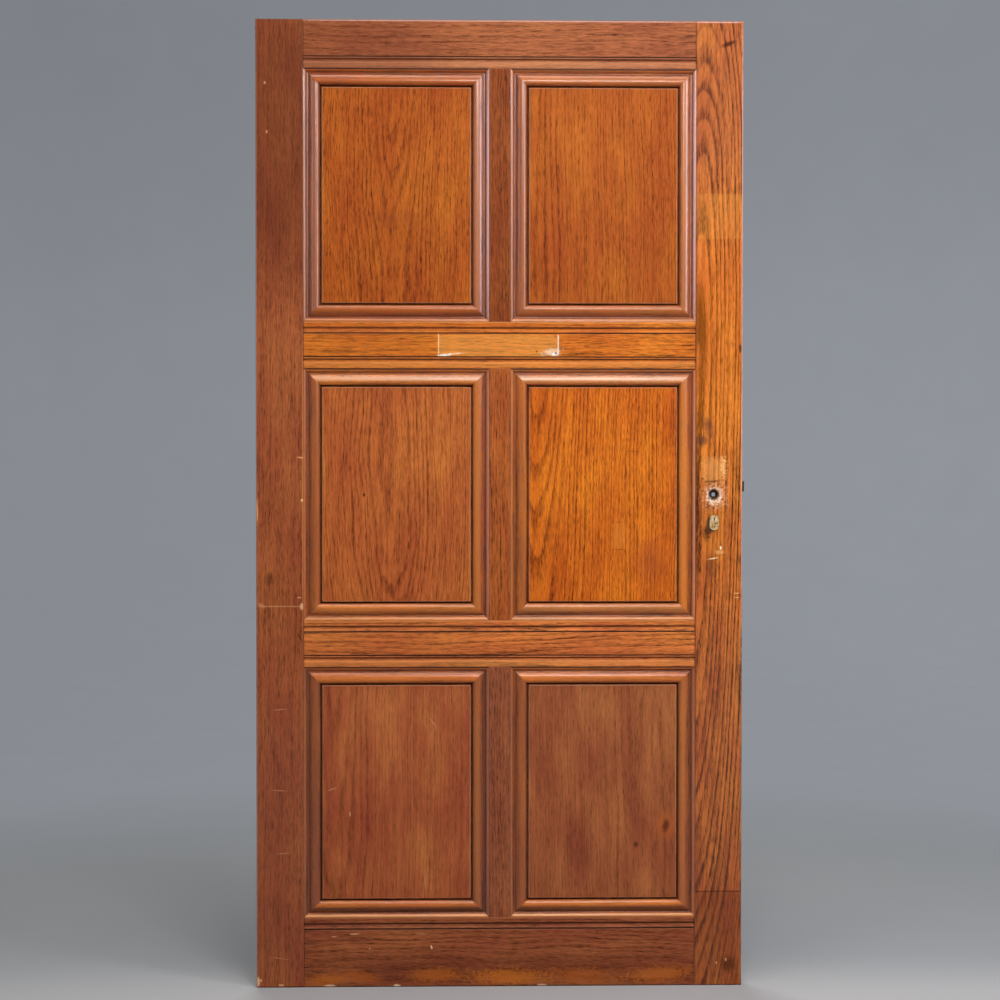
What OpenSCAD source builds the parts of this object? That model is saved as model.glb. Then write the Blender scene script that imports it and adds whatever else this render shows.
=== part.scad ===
// Panelled oak door leaf: a mortised and wedged frame, six raised panels held loose in grooves,
// mitred mouldings planted round them on both faces, and a mortise lock with an oval cylinder.
// The front face looks towards -Y, +X is to the right seen from the front, +Z is up.
// The origin is the middle of the bottom edge, halfway through the thickness.

/* [Leaf] */
// Width of the leaf
door_w = 1032; // [980:1:1200]
// Height of the leaf
door_h = 2050; // [1950:1:2200]
// Thickness of the stiles, rails and muntins
door_t = 40; // [38:0.5:46]
// Chamfer along the outer edges of the leaf
edge_chamfer = 1.5; // [0.5:0.1:3]

/* [Stiles, rails and muntins] */
// Face width of each stile
stile_w = 100; // [98:1:130]
// Face width of the muntins
muntin_w = 45; // [40:1:60]
// Height of the top rail
top_rail_h = 102; // [95:1:130]
// Height of each cross rail
cross_rail_h = 99; // [90:1:130]
// Height of the bottom rail
bottom_rail_h = 148; // [130:1:220]

/* [Joints in the wood] */
// Thickness of the tenons
tenon_t = 12; // [10:0.5:14]
// Distance of the outermost tenons from the leaf's top and bottom
tenon_setback = 25; // [15:1:35]
// Length of the muntins' stub tenons
stub_l = 25; // [16:1:30]
// Glue line round the tenons
glue_line = 0.1; // [0.05:0.05:0.3]
// Length of the wedges driven in beside the through tenons
wedge_l = 40; // [25:1:60]
// Thick end of a wedge
wedge_h = 6; // [4:0.5:10]

/* [Panels] */
// Thickness of the tongue round a panel
tongue_t = 8; // [6:0.5:10]
// Depth of the grooves that hold the panels
groove_d = 12; // [9:0.5:14]
// Play of the tongue across its groove
tongue_play = 0.2; // [0.1:0.05:0.4]
// Room at the bottom of the groove for the panel to swell
swell_gap = 1; // [0.5:0.1:3]
// Rise of the raised field above the tongue
field_rise = 9; // [6:0.5:12]
// Gap between the mouldings and the raised field
field_gap = 3; // [2:0.1:6]
// Chamfer on the edge of the raised field
field_chamfer = 1.2; // [0.5:0.1:2]

/* [Panel mouldings] */
// Width of a moulding strip
moulding_w = 36; // [32:0.5:45]
// Radius of the roll's nose beside the panel
roll_r = 10; // [8:0.5:11]
// Depth of the roll's crown below the frame's face
roll_drop = 1; // [0:0.1:2]
// Radius of the round edge beside the frame
round_r = 8; // [6:0.5:9]
// Depth of that edge below the frame's face
round_drop = 0.8; // [0:0.1:1.5]
// Turn of the round edge on its way down to the hollow
round_turn = 65; // [50:1:75]
// Radius of the hollow between the round edge and the roll
hollow_r = 3; // [2:0.25:4]
// Clearance between a moulding and the panel's tongue
moulding_clear = 0.2; // [0.1:0.05:0.4]
// Opening of the mitres, along each strip
mitre_gap = 0.2; // [0.05:0.05:0.6]

/* [Rail edges] */
// Flat band beside an opening
band_w = 11; // [8:0.5:14]
// Width of the flute next to the band
flute_w = 10; // [8:0.5:12]
// Depth of the flute
flute_d = 3; // [2:0.1:3.8]
// Fillet between the flute and the scratch line
fillet_w = 2.4; // [2:0.1:4]
// Width of the scratch line that ends the edge
scratch_w = 2; // [1:0.1:3]
// Depth of the scratch line
scratch_d = 3; // [1:0.1:4]

/* [Hinge gains] */
// Height of a gain
gain_h = 102; // [76:1:127]
// Width of a gain, measured from the back face
gain_w = 30; // [26:1:34]
// Depth of a gain
gain_d = 3; // [2:0.1:4]
// Height of the lowest gain's middle above the bottom edge
gain_low = 250; // [210:5:400]
// Height of the middle gain's middle above the bottom edge
gain_middle = 1045; // [900:5:1200]
// Drop of the top gain's middle below the top edge
gain_top_drop = 205; // [160:5:300]
// Spacing of the screw holes across the edge
gain_hole_y = 14; // [10:0.5:18]
// Spacing of the screw holes along the edge
gain_hole_z = 70; // [50:1:72]
// Radius of the screw holes
gain_hole_r = 1.75; // [1.2:0.05:2.5]
// Depth of the screw holes below the gain
gain_hole_l = 30; // [20:1:40]

/* [Lock case] */
// Distance of the spindle and key axes from the lock edge
backset = 60; // [52:0.5:62]
// Height of the spindle axis
spindle_z = 1048; // [950:1:1150]
// Drop from the spindle axis to the key axis
key_drop = 53; // [48:0.5:72]
// Thickness of the closed lock case
case_t = 16; // [15:0.5:18]
// Sheet that the case and its cover are made of
case_wall = 1.5; // [1:0.1:2]
// Height of the case above the spindle axis
case_up = 48; // [44:1:70]
// Depth of the case below the key axis
case_down = 45; // [38:1:70]
// Clearance of the case in its mortise
case_clear = 0.3; // [0.1:0.05:0.6]
// Radius of the posts that carry the cover
post_r = 3.5; // [3:0.1:4]
// Gap between those posts and the walls of the case
post_gap = 1; // [0.5:0.1:2]
// Radius of the studs that guide the bolts
stud_r = 2.5; // [2:0.1:3]
// Thickness of the forend
forend_t = 3; // [2:0.1:4]
// Width of the forend
forend_w = 22; // [20:0.5:26]
// Height of the forend
forend_h = 220; // [200:1:260]
// Clearance of sliding pieces
slide_clear = 0.3; // [0.2:0.05:0.5]
// Clearance of turning pieces
turn_clear = 0.08; // [0.02:0.01:0.1]

/* [Follower and latch] */
// Side of the square spindle hole
spindle_sq = 8; // [6:0.5:9]
// Radius of the follower's bosses
boss_r = 9; // [8:0.1:10]
// Radius of the follower's hub
hub_r = 11; // [10:0.1:12]
// Reach of the follower's lever tip beyond the hub
lever_reach = 3.3; // [2.8:0.1:5]
// Radius of the lever tip
lever_tip_r = 2.5; // [2:0.1:3]
// How much the lever's neck is drawn in from its tip on each side
lever_neck_in = 1; // [0.8:0.1:1.2]
// Clearance of the lever tip in the latch tail
lever_clear = 0.4; // [0.3:0.05:0.6]
// Rise of the latch's middle above the spindle axis
latch_rise = 17; // [14:0.5:22]
// Height of the latch bolt
latch_h = 22; // [18:0.5:26]
// Thickness of the latch bolt
latch_t = 12; // [8:0.5:12]
// How far the latch stands out of the lock edge
latch_out = 6.5; // [5:0.5:10]
// Length of the latch's head
latch_head_l = 28; // [22:1:32]
// Travel of the latch when the follower draws it
latch_travel = 6; // [4:0.5:6]
// Distance from the spindle axis to the end of the latch's tail
latch_tail_l = 10; // [8:0.5:12]
// Radius of the latch spring
spring_r = 4; // [3:0.1:5]
// Radius of the spring's wire
spring_wire_r = 0.5; // [0.3:0.05:0.7]
// Turns of the spring
spring_turns = 5; // [3:1:6]

/* [Dead bolt] */
// Height of the dead bolt
bolt_h = 22; // [16:0.5:24]
// Thickness of the dead bolt
bolt_t = 12; // [8:0.5:12]
// Throw of the dead bolt
bolt_throw = 14; // [10:0.5:15]
// Lug that closes the talon at the bolt's tail
bolt_lug = 5; // [3:0.5:6]
// Clearance of the bolt over the cylinder
bolt_gap = 0.7; // [0.5:0.1:2]

/* [Cylinder] */
// Radius of the oval's round ends
oval_r = 10; // [9:0.1:10.5]
// Distance between the centres of the round ends
oval_drop = 13; // [12:0.1:15]
// How far the cylinder stands out of each face
cylinder_out = 3; // [1:0.5:8]
// Radius of the plugs
plug_r = 6.4; // [5.5:0.1:7]
// Width of the gap for the cam
cam_gap = 10; // [8:0.5:11]
// Radius of the cam's ring
cam_ring_r = 8; // [7:0.1:9]
// How far the cam's lobe reaches into the dead bolt's talon
cam_bite = 3.3; // [2:0.1:4]
// Width of the cam's lobe
cam_lobe_w = 5.2; // [4:0.1:6]
// Width of the keyway
keyway_w = 1.6; // [1:0.1:2.2]
// Height of the keyway
keyway_h = 8; // [6:0.5:10]
// Depth of the keyway
keyway_l = 14; // [10:1:16]
// Clearance of the oval body in the lock case
oval_clear = 0.2; // [0.1:0.05:0.4]

/* [Holes worn and drilled in the wood] */
// Diameter of the spindle hole in the wood
spindle_hole_d = 20; // [18:0.5:24]
// Drift of that hole from the spindle axis, towards the hinges
spindle_hole_drift = 2; // [0:0.5:3]
// Clearance of the oval hole round the cylinder
oval_hole_clear = 0.6; // [0.3:0.1:2]
// Sideways reach of the gouge beside the cylinder, on the front only
gouge_side = 3; // [1:0.5:5]
// Downward reach of that gouge
gouge_down = 2; // [0:0.5:4]
// Radius of the old screw holes left by removed fittings
old_hole_r = 1.2; // [0.8:0.1:2]
// Depth of the old screw holes
old_hole_l = 9; // [5:0.5:10]

/* [Screws] */
// Radius of the wood screws and their holes in the forend
wood_screw_r = 2; // [1.5:0.1:2.5]
// Length of the wood screws
wood_screw_l = 30; // [20:1:40]
// Distance of the wood screws from the forend's ends
wood_screw_inset = 11; // [8:0.5:14]
// Radius of the cover's screws
cover_screw_r = 1.9; // [1.5:0.1:2.2]
// Length of the cover's screws
cover_screw_l = 9; // [6:0.5:11]
// Radius of the screw that holds the cylinder
cylinder_screw_r = 2.4; // [2:0.1:2.6]
// How far that screw passes the key axis
cylinder_screw_over = 6; // [4:0.5:8]
// Clearance round screws
screw_clear = 0.1; // [0.05:0.05:0.2]
// Width and depth of the screwdriver slots
screw_slot = 0.9; // [0.6:0.1:1.2]

/* [Hidden] */
$fn = 48;
cut = 1;
face_y = door_t / 2;
edge_x = door_w / 2;

// Openings: two columns from the left, three rows from the top
opening_w = (door_w - 2 * stile_w - muntin_w) / 2;
opening_h = (door_h - top_rail_h - 2 * cross_rail_h - bottom_rail_h) / 3;
column_x = [-edge_x + stile_w, muntin_w / 2];
lower_rail_z = bottom_rail_h + opening_h;
upper_rail_z = lower_rail_z + cross_rail_h + opening_h;
top_rail_z = door_h - top_rail_h;
row_z = [upper_rail_z + cross_rail_h, lower_rail_z + cross_rail_h, bottom_rail_h];
rail_l = door_w - 2 * stile_w;

// Lowest and highest edge of the tenon of each rail
top_tenon = [top_rail_z + groove_d, door_h - tenon_setback];
upper_tenon = [upper_rail_z + groove_d, upper_rail_z + cross_rail_h - groove_d];
lower_tenon = [lower_rail_z + groove_d, lower_rail_z + cross_rail_h - groove_d];
bottom_tenon = [tenon_setback, bottom_rail_h - groove_d];
tenons = [top_tenon, upper_tenon, lower_tenon, bottom_tenon];
stub_w = muntin_w - 2 * groove_d;

// Moulding section: s runs from the frame to the panel, h from the panel's tongue to the face
seat_y = tongue_t / 2 + moulding_clear;
moulding_d = face_y - seat_y;
crown_h = moulding_d - roll_drop;
roll_s = moulding_w - roll_r;
roll_h = crown_h - roll_r;
round_h = moulding_d - round_drop - round_r;
turn_h = round_h + round_r * cos(round_turn);
hollow_s = (round_r + hollow_r) * sin(round_turn);
hollow_h = round_h + (round_r + hollow_r) * cos(round_turn);

// The roll's flank is the arc that leaves the crown level and runs smoothly into the hollow
flank_w = roll_s - hollow_s;
flank_drop = crown_h - hollow_h;
flank_square = flank_w * flank_w + flank_drop * flank_drop - hollow_r * hollow_r;
flank_r = flank_square / (2 * (hollow_r + flank_drop));
flank_h = crown_h - flank_r;
meet_share = hollow_r / (hollow_r + flank_r);
meet_s = hollow_s + meet_share * flank_w;
meet_h = hollow_h + meet_share * (flank_h - hollow_h);
field_inset = moulding_w + field_gap;
flute_r = (flute_w * flute_w / 4 + flute_d * flute_d) / (2 * flute_d);
edge_line = band_w + flute_w + fillet_w;

// Lock layout
lock_x = edge_x - backset;
key_z = spindle_z - key_drop;
forend_x = edge_x - forend_t;
inner_t = case_t - 2 * case_wall;
bolt_rise = oval_r + bolt_gap;
cam_r = bolt_rise + cam_bite;
talon_w = 2 * (sqrt(cam_r * cam_r - bolt_rise * bolt_rise) + slide_clear);
talon_x = lock_x - bolt_throw / 2;
talon_h = cam_bite + slide_clear;
bolt_back = talon_x - talon_w / 2 - bolt_lug;
case_back = bolt_back - slide_clear - case_wall;
case_low = key_z - case_down;
case_high = spindle_z + case_up;
case_h = case_high - case_low;
case_l = forend_x - case_back;
forend_low = (case_low + case_high - forend_h) / 2;
latch_z = spindle_z + latch_rise;
lever_r = hub_r + lever_reach;
tail_low = spindle_z + hub_r + slide_clear;
tail_h = latch_z + latch_h / 2 - tail_low;
tail_back = lock_x - latch_tail_l;
spring_z = tail_low + tail_h / 2;
stud_x = forend_x - latch_head_l - latch_travel - slide_clear - stud_r;
bridge_h = oval_drop + oval_r - cam_r - slide_clear;
cylinder_screw_z = key_z - cam_r - slide_clear - bridge_h / 2;
cylinder_l = door_t + 2 * cylinder_out;
head_ratio = 1.8;
posts = [for (x = [case_back + case_wall + post_r + post_gap, forend_x - 2 * post_r])
    for (z = [case_low + case_wall + post_r + post_gap, case_high - case_wall - post_r - post_gap]) [x, z]];

// Hinge gains and the old screw holes, as heights and places on the front face
gains = [gain_low, gain_middle, door_h - gain_top_drop];
stile_holes = [[432.5, 1081], [474, 1038], [470.5, 939]];
rail_holes = [[118.5, 1347.5], [117.5, 1382.5]];

OAK_DARK = "#7d4527";
OAK = "#9c5a33";
OAK_GOLD = "#bf6f3c";
OAK_PANEL = "#a8581f";
OAK_MOULDING = "#7a452c";
STEEL = "#8a8c8c";
IRON = "#4a3a30";
BRASS = "#b89a58";

// Block given by its lowest corner and its highest corner
module block(low, high) {
    translate(low) cube(high - low);
}

// Turns a flat shape drawn as across and up into a bar along X
module along_x(length) {
    rotate([90, 0, 90]) linear_extrude(length) children();
}

// Turns a flat shape drawn in X and Z into a slab from one depth to another
module through_y(low, high) {
    translate([0, high, 0]) rotate([90, 0, 0]) linear_extrude(high - low) children();
}

// Rod along Y round a point of the front
module rod_y(x, z, r, low, high) {
    through_y(low, high) translate([x, z]) circle(r);
}

// Oval outline of the cylinder, round the key axis
module oval(grow) {
    translate([lock_x, key_z]) circle(oval_r + grow);
    translate([lock_x, key_z - oval_drop]) circle(oval_r + grow);
    translate([lock_x - oval_r - grow, key_z - oval_drop]) square([2 * (oval_r + grow), oval_drop]);
}

// Countersunk screw with its head's top at the origin and its shank down -Z
module screw(r, length, grow = 0, slot = screw_slot) {
    head_l = r * (head_ratio - 1);
    difference() {
        union() {
            translate([0, 0, -head_l]) cylinder(h = head_l, r1 = r + grow, r2 = head_ratio * r + grow);
            translate([0, 0, -length]) cylinder(h = length - head_l / 2, r = r + grow);
        }
        if (grow == 0) translate([0, 0, -slot / 2]) cube([4 * head_ratio * r, slot, slot], center = true);
    }
}

// Space that a panel's tongue takes in the frame, with its room to move
module panel_housing(column, row) {
    grow = groove_d;
    half = tongue_t / 2 + tongue_play;
    low = [column_x[column] - grow, -half, row_z[row] - grow];
    high = [column_x[column] + opening_w + grow, half, row_z[row] + opening_h + grow];
    block(low, high);
}

// Wedge beside a through tenon, in the right-hand edge, tapering inwards from a given height
module wedge(z, side) {
    tip = [edge_x - wedge_l, z];
    through_y(-tenon_t / 2, tenon_t / 2) polygon([tip, [edge_x, z], [edge_x, z + side * wedge_h]]);
}

// Wedges of all the tenons that pass through one stile
module edge_wedges() {
    for (tenon = tenons) {
        wedge(tenon[0] - glue_line, -1);
        wedge(tenon[1] + glue_line, 1);
    }
}

// Right-hand stile with its mortises and panel grooves, before any fittings are let in
module stile() {
    mid_x = edge_x - stile_w / 2;
    difference() {
        linear_extrude(door_h) difference() {
            translate([mid_x, 0]) square([stile_w, door_t], center = true);
            for (y = [-face_y, face_y])
                translate([edge_x, y]) rotate(45) square(edge_chamfer * sqrt(2), center = true);
        }
        for (tenon = tenons) {
            low = [edge_x - stile_w - cut, -tenon_t / 2 - glue_line, tenon[0] - glue_line];
            high = [edge_x + cut, tenon_t / 2 + glue_line, tenon[1] + glue_line];
            block(low, high);
        }
        for (row = [0:2]) panel_housing(1, row);
        edge_wedges();
    }
}

module hinge_stile() {
    color(OAK_DARK) difference() {
        mirror([1, 0, 0]) stile();
        for (z = gains) hinge_gain(z);
    }
}

// Recess for a hinge leaf, open to the back face, with its screw holes
module hinge_gain(z) {
    low = [-edge_x - cut, face_y - gain_w, z - gain_h / 2];
    high = [-edge_x + gain_d, face_y + cut, z + gain_h / 2];
    block(low, high);
    for (y = [-gain_hole_y / 2, gain_hole_y / 2], dz = [-gain_hole_z / 2, gain_hole_z / 2])
        translate([-edge_x, face_y - gain_w / 2 + y, z + dz])
            rotate([0, 90, 0]) cylinder(h = gain_d + gain_hole_l, r = gain_hole_r);
}

module lock_stile() {
    hole_x = lock_x - spindle_hole_drift;
    pocket_low = [case_back - case_clear, -case_t / 2 - case_clear, case_low - case_clear];
    pocket_high = [edge_x + cut, case_t / 2 + case_clear, case_high + case_clear];
    recess_low = [forend_x, -forend_w / 2 - screw_clear, forend_low - screw_clear];
    recess_high = [edge_x + cut, forend_w / 2 + screw_clear, forend_low + forend_h + screw_clear];
    color(OAK_GOLD) difference() {
        stile();
        block(pocket_low, pocket_high);
        block(recess_low, recess_high);
        rod_y(hole_x, spindle_z, spindle_hole_d / 2, -face_y - cut, face_y + cut);
        through_y(-face_y - cut, face_y + cut) oval(oval_hole_clear);
        translate([-gouge_side, 0, -gouge_down]) through_y(-face_y - cut, 0) oval(0);
        forend_screw_places() screw(wood_screw_r, wood_screw_l, screw_clear);
        for (hole = stile_holes) rod_y(hole[0], hole[1], old_hole_r, -face_y - cut, -face_y + old_hole_l);
    }
}

// Flute and scratch line that run along one edge of a rail, drawn down from an edge at height z
module rail_edge(z, side) {
    for (y = [-1, 1]) {
        flute_z = z - side * (band_w + flute_w / 2);
        line_z = z - side * (edge_line + scratch_w / 2);
        translate([y * (face_y + flute_r - flute_d), flute_z]) circle(flute_r);
        translate([y * face_y, line_z]) square([2 * scratch_d, scratch_w], center = true);
    }
}

// Chamfer on an outer edge of the leaf at height z
module rail_chamfer(z) {
    for (y = [-face_y, face_y])
        translate([y, z]) rotate(45) square(edge_chamfer * sqrt(2), center = true);
}

// Rail from its low edge, with tenons through both stiles and mortises for the muntins
module rail(z, h, tenon, above, below) {
    difference() {
        union() {
            translate([-rail_l / 2, 0, 0]) along_x(rail_l) difference() {
                translate([-face_y, z]) square([door_t, h]);
                if (above) rail_edge(z + h, 1);
                if (below) rail_edge(z, -1);
                if (!above) rail_chamfer(z + h);
                if (!below) rail_chamfer(z);
            }
            block([-edge_x, -tenon_t / 2, tenon[0]], [edge_x, tenon_t / 2, tenon[1]]);
        }
        for (column = [0, 1], row = [0:2]) panel_housing(column, row);
        for (row = [0:2]) muntin_stub(row, glue_line);
    }
}

module top_rail() {
    color(OAK) rail(top_rail_z, top_rail_h, top_tenon, false, true);
}

module upper_cross_rail() {
    color(OAK) difference() {
        rail(upper_rail_z, cross_rail_h, upper_tenon, true, true);
        for (hole = rail_holes) rod_y(hole[0], hole[1], old_hole_r, -face_y - cut, -face_y + old_hole_l);
    }
}

module lower_cross_rail() {
    color(OAK) rail(lower_rail_z, cross_rail_h, lower_tenon, true, true);
}

module bottom_rail() {
    color(OAK_DARK) rail(0, bottom_rail_h, bottom_tenon, true, false);
}

// Stub tenons of a muntin, or the mortises for them when grown
module muntin_stub(row, grow) {
    low = [-stub_w / 2 - grow, -tenon_t / 2 - grow, row_z[row] - stub_l - grow];
    high = [stub_w / 2 + grow, tenon_t / 2 + grow, row_z[row] + opening_h + stub_l + grow];
    block(low, high);
}

// Muntin between two rails, grooved on both sides
module muntin(row) {
    difference() {
        union() {
            block([-muntin_w / 2, -face_y, row_z[row]], [muntin_w / 2, face_y, row_z[row] + opening_h]);
            muntin_stub(row, 0);
        }
        for (column = [0, 1]) panel_housing(column, row);
    }
}

module upper_muntin() {
    color(OAK) muntin(0);
}

module middle_muntin() {
    color(OAK) muntin(1);
}

module lower_muntin() {
    color(OAK) muntin(2);
}

// Section of the raised field across one direction, chamfered on both faces
module field_section(span) {
    y = tongue_t / 2 + field_rise;
    c = field_chamfer;
    polygon([[0, c - y], [c, -y], [span - c, -y], [span, c - y],
        [span, y - c], [span - c, y], [c, y], [0, y - c]]);
}

// Raised panel: a thin tongue all round and a field that stands out on both faces
module panel(column, row) {
    reach = groove_d - swell_gap;
    low = [column_x[column], 0, row_z[row]];
    high = [low[0] + opening_w, 0, low[2] + opening_h];
    field_w = opening_w - 2 * field_inset;
    field_h = opening_h - 2 * field_inset;
    half = [reach, tongue_t / 2, reach];
    color(OAK_PANEL) union() {
        block(low - half, high + half);
        translate(low + [field_inset, 0, field_inset]) intersection() {
            linear_extrude(field_h) field_section(field_w);
            rotate([0, -90, 0]) mirror([0, 0, 1]) linear_extrude(field_w) field_section(field_h);
        }
    }
}

module upper_left_panel() {
    panel(0, 0);
}

module upper_right_panel() {
    panel(1, 0);
}

module middle_left_panel() {
    panel(0, 1);
}

module middle_right_panel() {
    panel(1, 1);
}

module lower_left_panel() {
    panel(0, 2);
}

module lower_right_panel() {
    panel(1, 2);
}

// Moulding section: a round edge against the frame, a hollow, and a broad roll beside the panel
module moulding_section() {
    difference() {
        union() {
            square([hollow_s, turn_h]);
            square([meet_s, meet_h]);
        }
        translate([hollow_s, hollow_h]) circle(hollow_r);
    }
    translate([0, round_h]) circle(round_r);
    intersection() {
        translate([roll_s, flank_h]) circle(flank_r);
        square([roll_s, crown_h]);
    }
    translate([roll_s, roll_h]) circle(roll_r);
    square([moulding_w, roll_h]);
}

// One strip along Z, mitred at both ends, with its frame side on the Z axis and its face to +Y
module moulding_strip(length) {
    low = mitre_gap / 2;
    high = length - low;
    w = moulding_w;
    intersection() {
        linear_extrude(length) intersection() {
            moulding_section();
            square([moulding_w, moulding_d]);
        }
        through_y(-cut, moulding_d + cut)
            polygon([[0, low], [w, low + w], [w, high - w], [0, high]]);
    }
}

// Four strips round one opening; face is -1 for the front and 1 for the back
module moulding(column, row, face) {
    x = column_x[column];
    z = row_z[row];
    color(OAK_MOULDING) on_face(face) {
        translate([x, seat_y, z]) moulding_strip(opening_h);
        translate([x + opening_w, seat_y, z]) mirror([1, 0, 0]) moulding_strip(opening_h);
        translate([x, seat_y, z + opening_h]) rotate([0, 90, 0]) moulding_strip(opening_w);
        translate([x, seat_y, z]) mirror([0, 0, 1]) rotate([0, 90, 0]) moulding_strip(opening_w);
    }
}

// Turns what is drawn for the back face to the front when face is -1
module on_face(face) {
    if (face < 0) mirror([0, 1, 0]) children();
    else children();
}

module upper_left_front_moulding() {
    moulding(0, 0, -1);
}

module upper_right_front_moulding() {
    moulding(1, 0, -1);
}

module middle_left_front_moulding() {
    moulding(0, 1, -1);
}

module middle_right_front_moulding() {
    moulding(1, 1, -1);
}

module lower_left_front_moulding() {
    moulding(0, 2, -1);
}

module lower_right_front_moulding() {
    moulding(1, 2, -1);
}

module upper_left_back_moulding() {
    moulding(0, 0, 1);
}

module upper_right_back_moulding() {
    moulding(1, 0, 1);
}

module middle_left_back_moulding() {
    moulding(0, 1, 1);
}

module middle_right_back_moulding() {
    moulding(1, 1, 1);
}

module lower_left_back_moulding() {
    moulding(0, 2, 1);
}

module lower_right_back_moulding() {
    moulding(1, 2, 1);
}

module tenon_wedges() {
    color(OAK_GOLD) {
        edge_wedges();
        mirror([1, 0, 0]) edge_wedges();
    }
}

// Holes that the follower and the cylinder need in the case and the cover
module lock_holes() {
    rod_y(lock_x, spindle_z, boss_r + turn_clear, -case_t, case_t);
    through_y(-case_t, case_t) oval(oval_clear);
}

// Open tray of the lock with posts for the cover and a guide stud under each bolt
module lock_case() {
    back_y = -case_t / 2;
    floor_y = back_y + case_wall;
    cover_y = case_t / 2 - case_wall;
    color(STEEL) difference() {
        union() {
            difference() {
                block([case_back, back_y, case_low], [forend_x, cover_y, case_high]);
                block([case_back + case_wall, floor_y, case_low + case_wall],
                    [forend_x + cut, cover_y + cut, case_high - case_wall]);
            }
            for (post = posts) rod_y(post[0], post[1], post_r, back_y, cover_y);
            for (z = [tail_low, key_z + bolt_rise])
                rod_y(stud_x, z - slide_clear - stud_r, stud_r, back_y, cover_y);
        }
        lock_holes();
        for (post = posts) rod_y(post[0], post[1], cover_screw_r + screw_clear, floor_y, cover_y + cut);
    }
}

module lock_cover() {
    color(STEEL) difference() {
        block([case_back, case_t / 2 - case_wall, case_low], [forend_x, case_t / 2, case_high]);
        lock_holes();
        cover_screw_places() screw(cover_screw_r, cover_screw_l, screw_clear);
    }
}

module cover_screw_places() {
    for (post = posts) translate([post[0], case_t / 2, post[1]]) rotate([-90, 0, 0]) children();
}

module cover_screws() {
    color(STEEL) cover_screw_places() screw(cover_screw_r, cover_screw_l);
}

module forend_screw_places() {
    for (z = [forend_low + wood_screw_inset, forend_low + forend_h - wood_screw_inset])
        translate([edge_x, 0, z]) rotate([0, 90, 0]) children();
}

// Window in the forend for a bolt of a given height and thickness
module forend_window(z, h, t) {
    low = [forend_x - cut, -t / 2 - slide_clear, z - slide_clear];
    high = [edge_x + cut, t / 2 + slide_clear, z + h + slide_clear];
    block(low, high);
}

module forend() {
    color(STEEL) difference() {
        block([forend_x, -forend_w / 2, forend_low], [edge_x, forend_w / 2, forend_low + forend_h]);
        forend_window(latch_z - latch_h / 2, latch_h, latch_t);
        forend_window(key_z + bolt_rise, bolt_h, bolt_t);
        forend_screw_places() screw(wood_screw_r, wood_screw_l, screw_clear);
        cylinder_screw_place() screw(cylinder_screw_r, cylinder_screw_l(), screw_clear);
    }
}

module forend_screws() {
    color(STEEL) forend_screw_places() screw(wood_screw_r, wood_screw_l);
}

// Latch: a bevelled head and a tail with a notch for the follower's lever
module latch_bolt() {
    tip_x = edge_x + latch_out;
    half_t = latch_t / 2;
    head_back = forend_x - latch_head_l;
    notch = lever_tip_r + lever_clear;
    color(IRON) difference() {
        union() {
            translate([0, 0, latch_z - latch_h / 2]) linear_extrude(latch_h)
                polygon([[head_back, -half_t], [edge_x, -half_t], [tip_x, half_t / 2], [tip_x, half_t],
                    [head_back, half_t]]);
            block([tail_back, -half_t, tail_low], [edge_x - forend_t, half_t, tail_low + tail_h]);
        }
        block([lock_x - notch, -latch_t, tail_low - cut],
            [lock_x + notch, latch_t, spindle_z + lever_r + notch]);
    }
}

// Coil spring along X between the back of the case and the latch's tail
module latch_spring() {
    sides = 6;
    steps = 12;
    rings = spring_turns * steps;
    start = case_back + case_wall + spring_wire_r + screw_clear;
    rise = tail_back - screw_clear - spring_wire_r - start;
    points = [for (i = [0:rings], k = [0:sides - 1])
        let (turn = 360 * i / steps, side = 360 * k / sides, r = spring_r + spring_wire_r * cos(side))
        [start + rise * i / rings + spring_wire_r * sin(side), r * cos(turn), spring_z + r * sin(turn)]];
    walls = [for (i = [0:rings - 1], k = [0:sides - 1])
        let (a = i * sides + k, b = i * sides + (k + 1) % sides)
        [b, a, a + sides, b + sides]];
    first = [for (k = [0:sides - 1]) k];
    last = [for (k = [sides - 1:-1:0]) rings * sides + k];
    color(STEEL) polyhedron(points, concat([first, last], walls));
}

// Follower: hub and bosses round the spindle's square, with a lever that draws the latch
module follower() {
    tip_z = spindle_z + lever_r;
    hub_y = inner_t / 2 - slide_clear;
    neck = lever_tip_r - lever_neck_in;
    color(IRON) difference() {
        union() {
            rod_y(lock_x, spindle_z, boss_r, -case_t / 2, case_t / 2);
            rod_y(lock_x, spindle_z, hub_r, -hub_y, hub_y);
            rod_y(lock_x, tip_z, lever_tip_r, -hub_y, hub_y);
            block([lock_x - neck, -hub_y, spindle_z], [lock_x + neck, hub_y, tip_z]);
        }
        translate([lock_x, 0, spindle_z]) cube([spindle_sq, 2 * case_t, spindle_sq], center = true);
    }
}

// Dead bolt, drawn in, with the talon that the cam moves it by
module dead_bolt() {
    low_z = key_z + bolt_rise;
    color(IRON) difference() {
        block([bolt_back, -bolt_t / 2, low_z], [edge_x - slide_clear, bolt_t / 2, low_z + bolt_h]);
        block([talon_x - talon_w / 2, -bolt_t, low_z - cut],
            [talon_x + talon_w / 2, bolt_t, low_z + talon_h]);
    }
}

function cylinder_screw_l() = backset + cylinder_screw_over;

module cylinder_screw_place() {
    translate([edge_x, 0, cylinder_screw_z]) rotate([0, 90, 0]) children();
}

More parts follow.
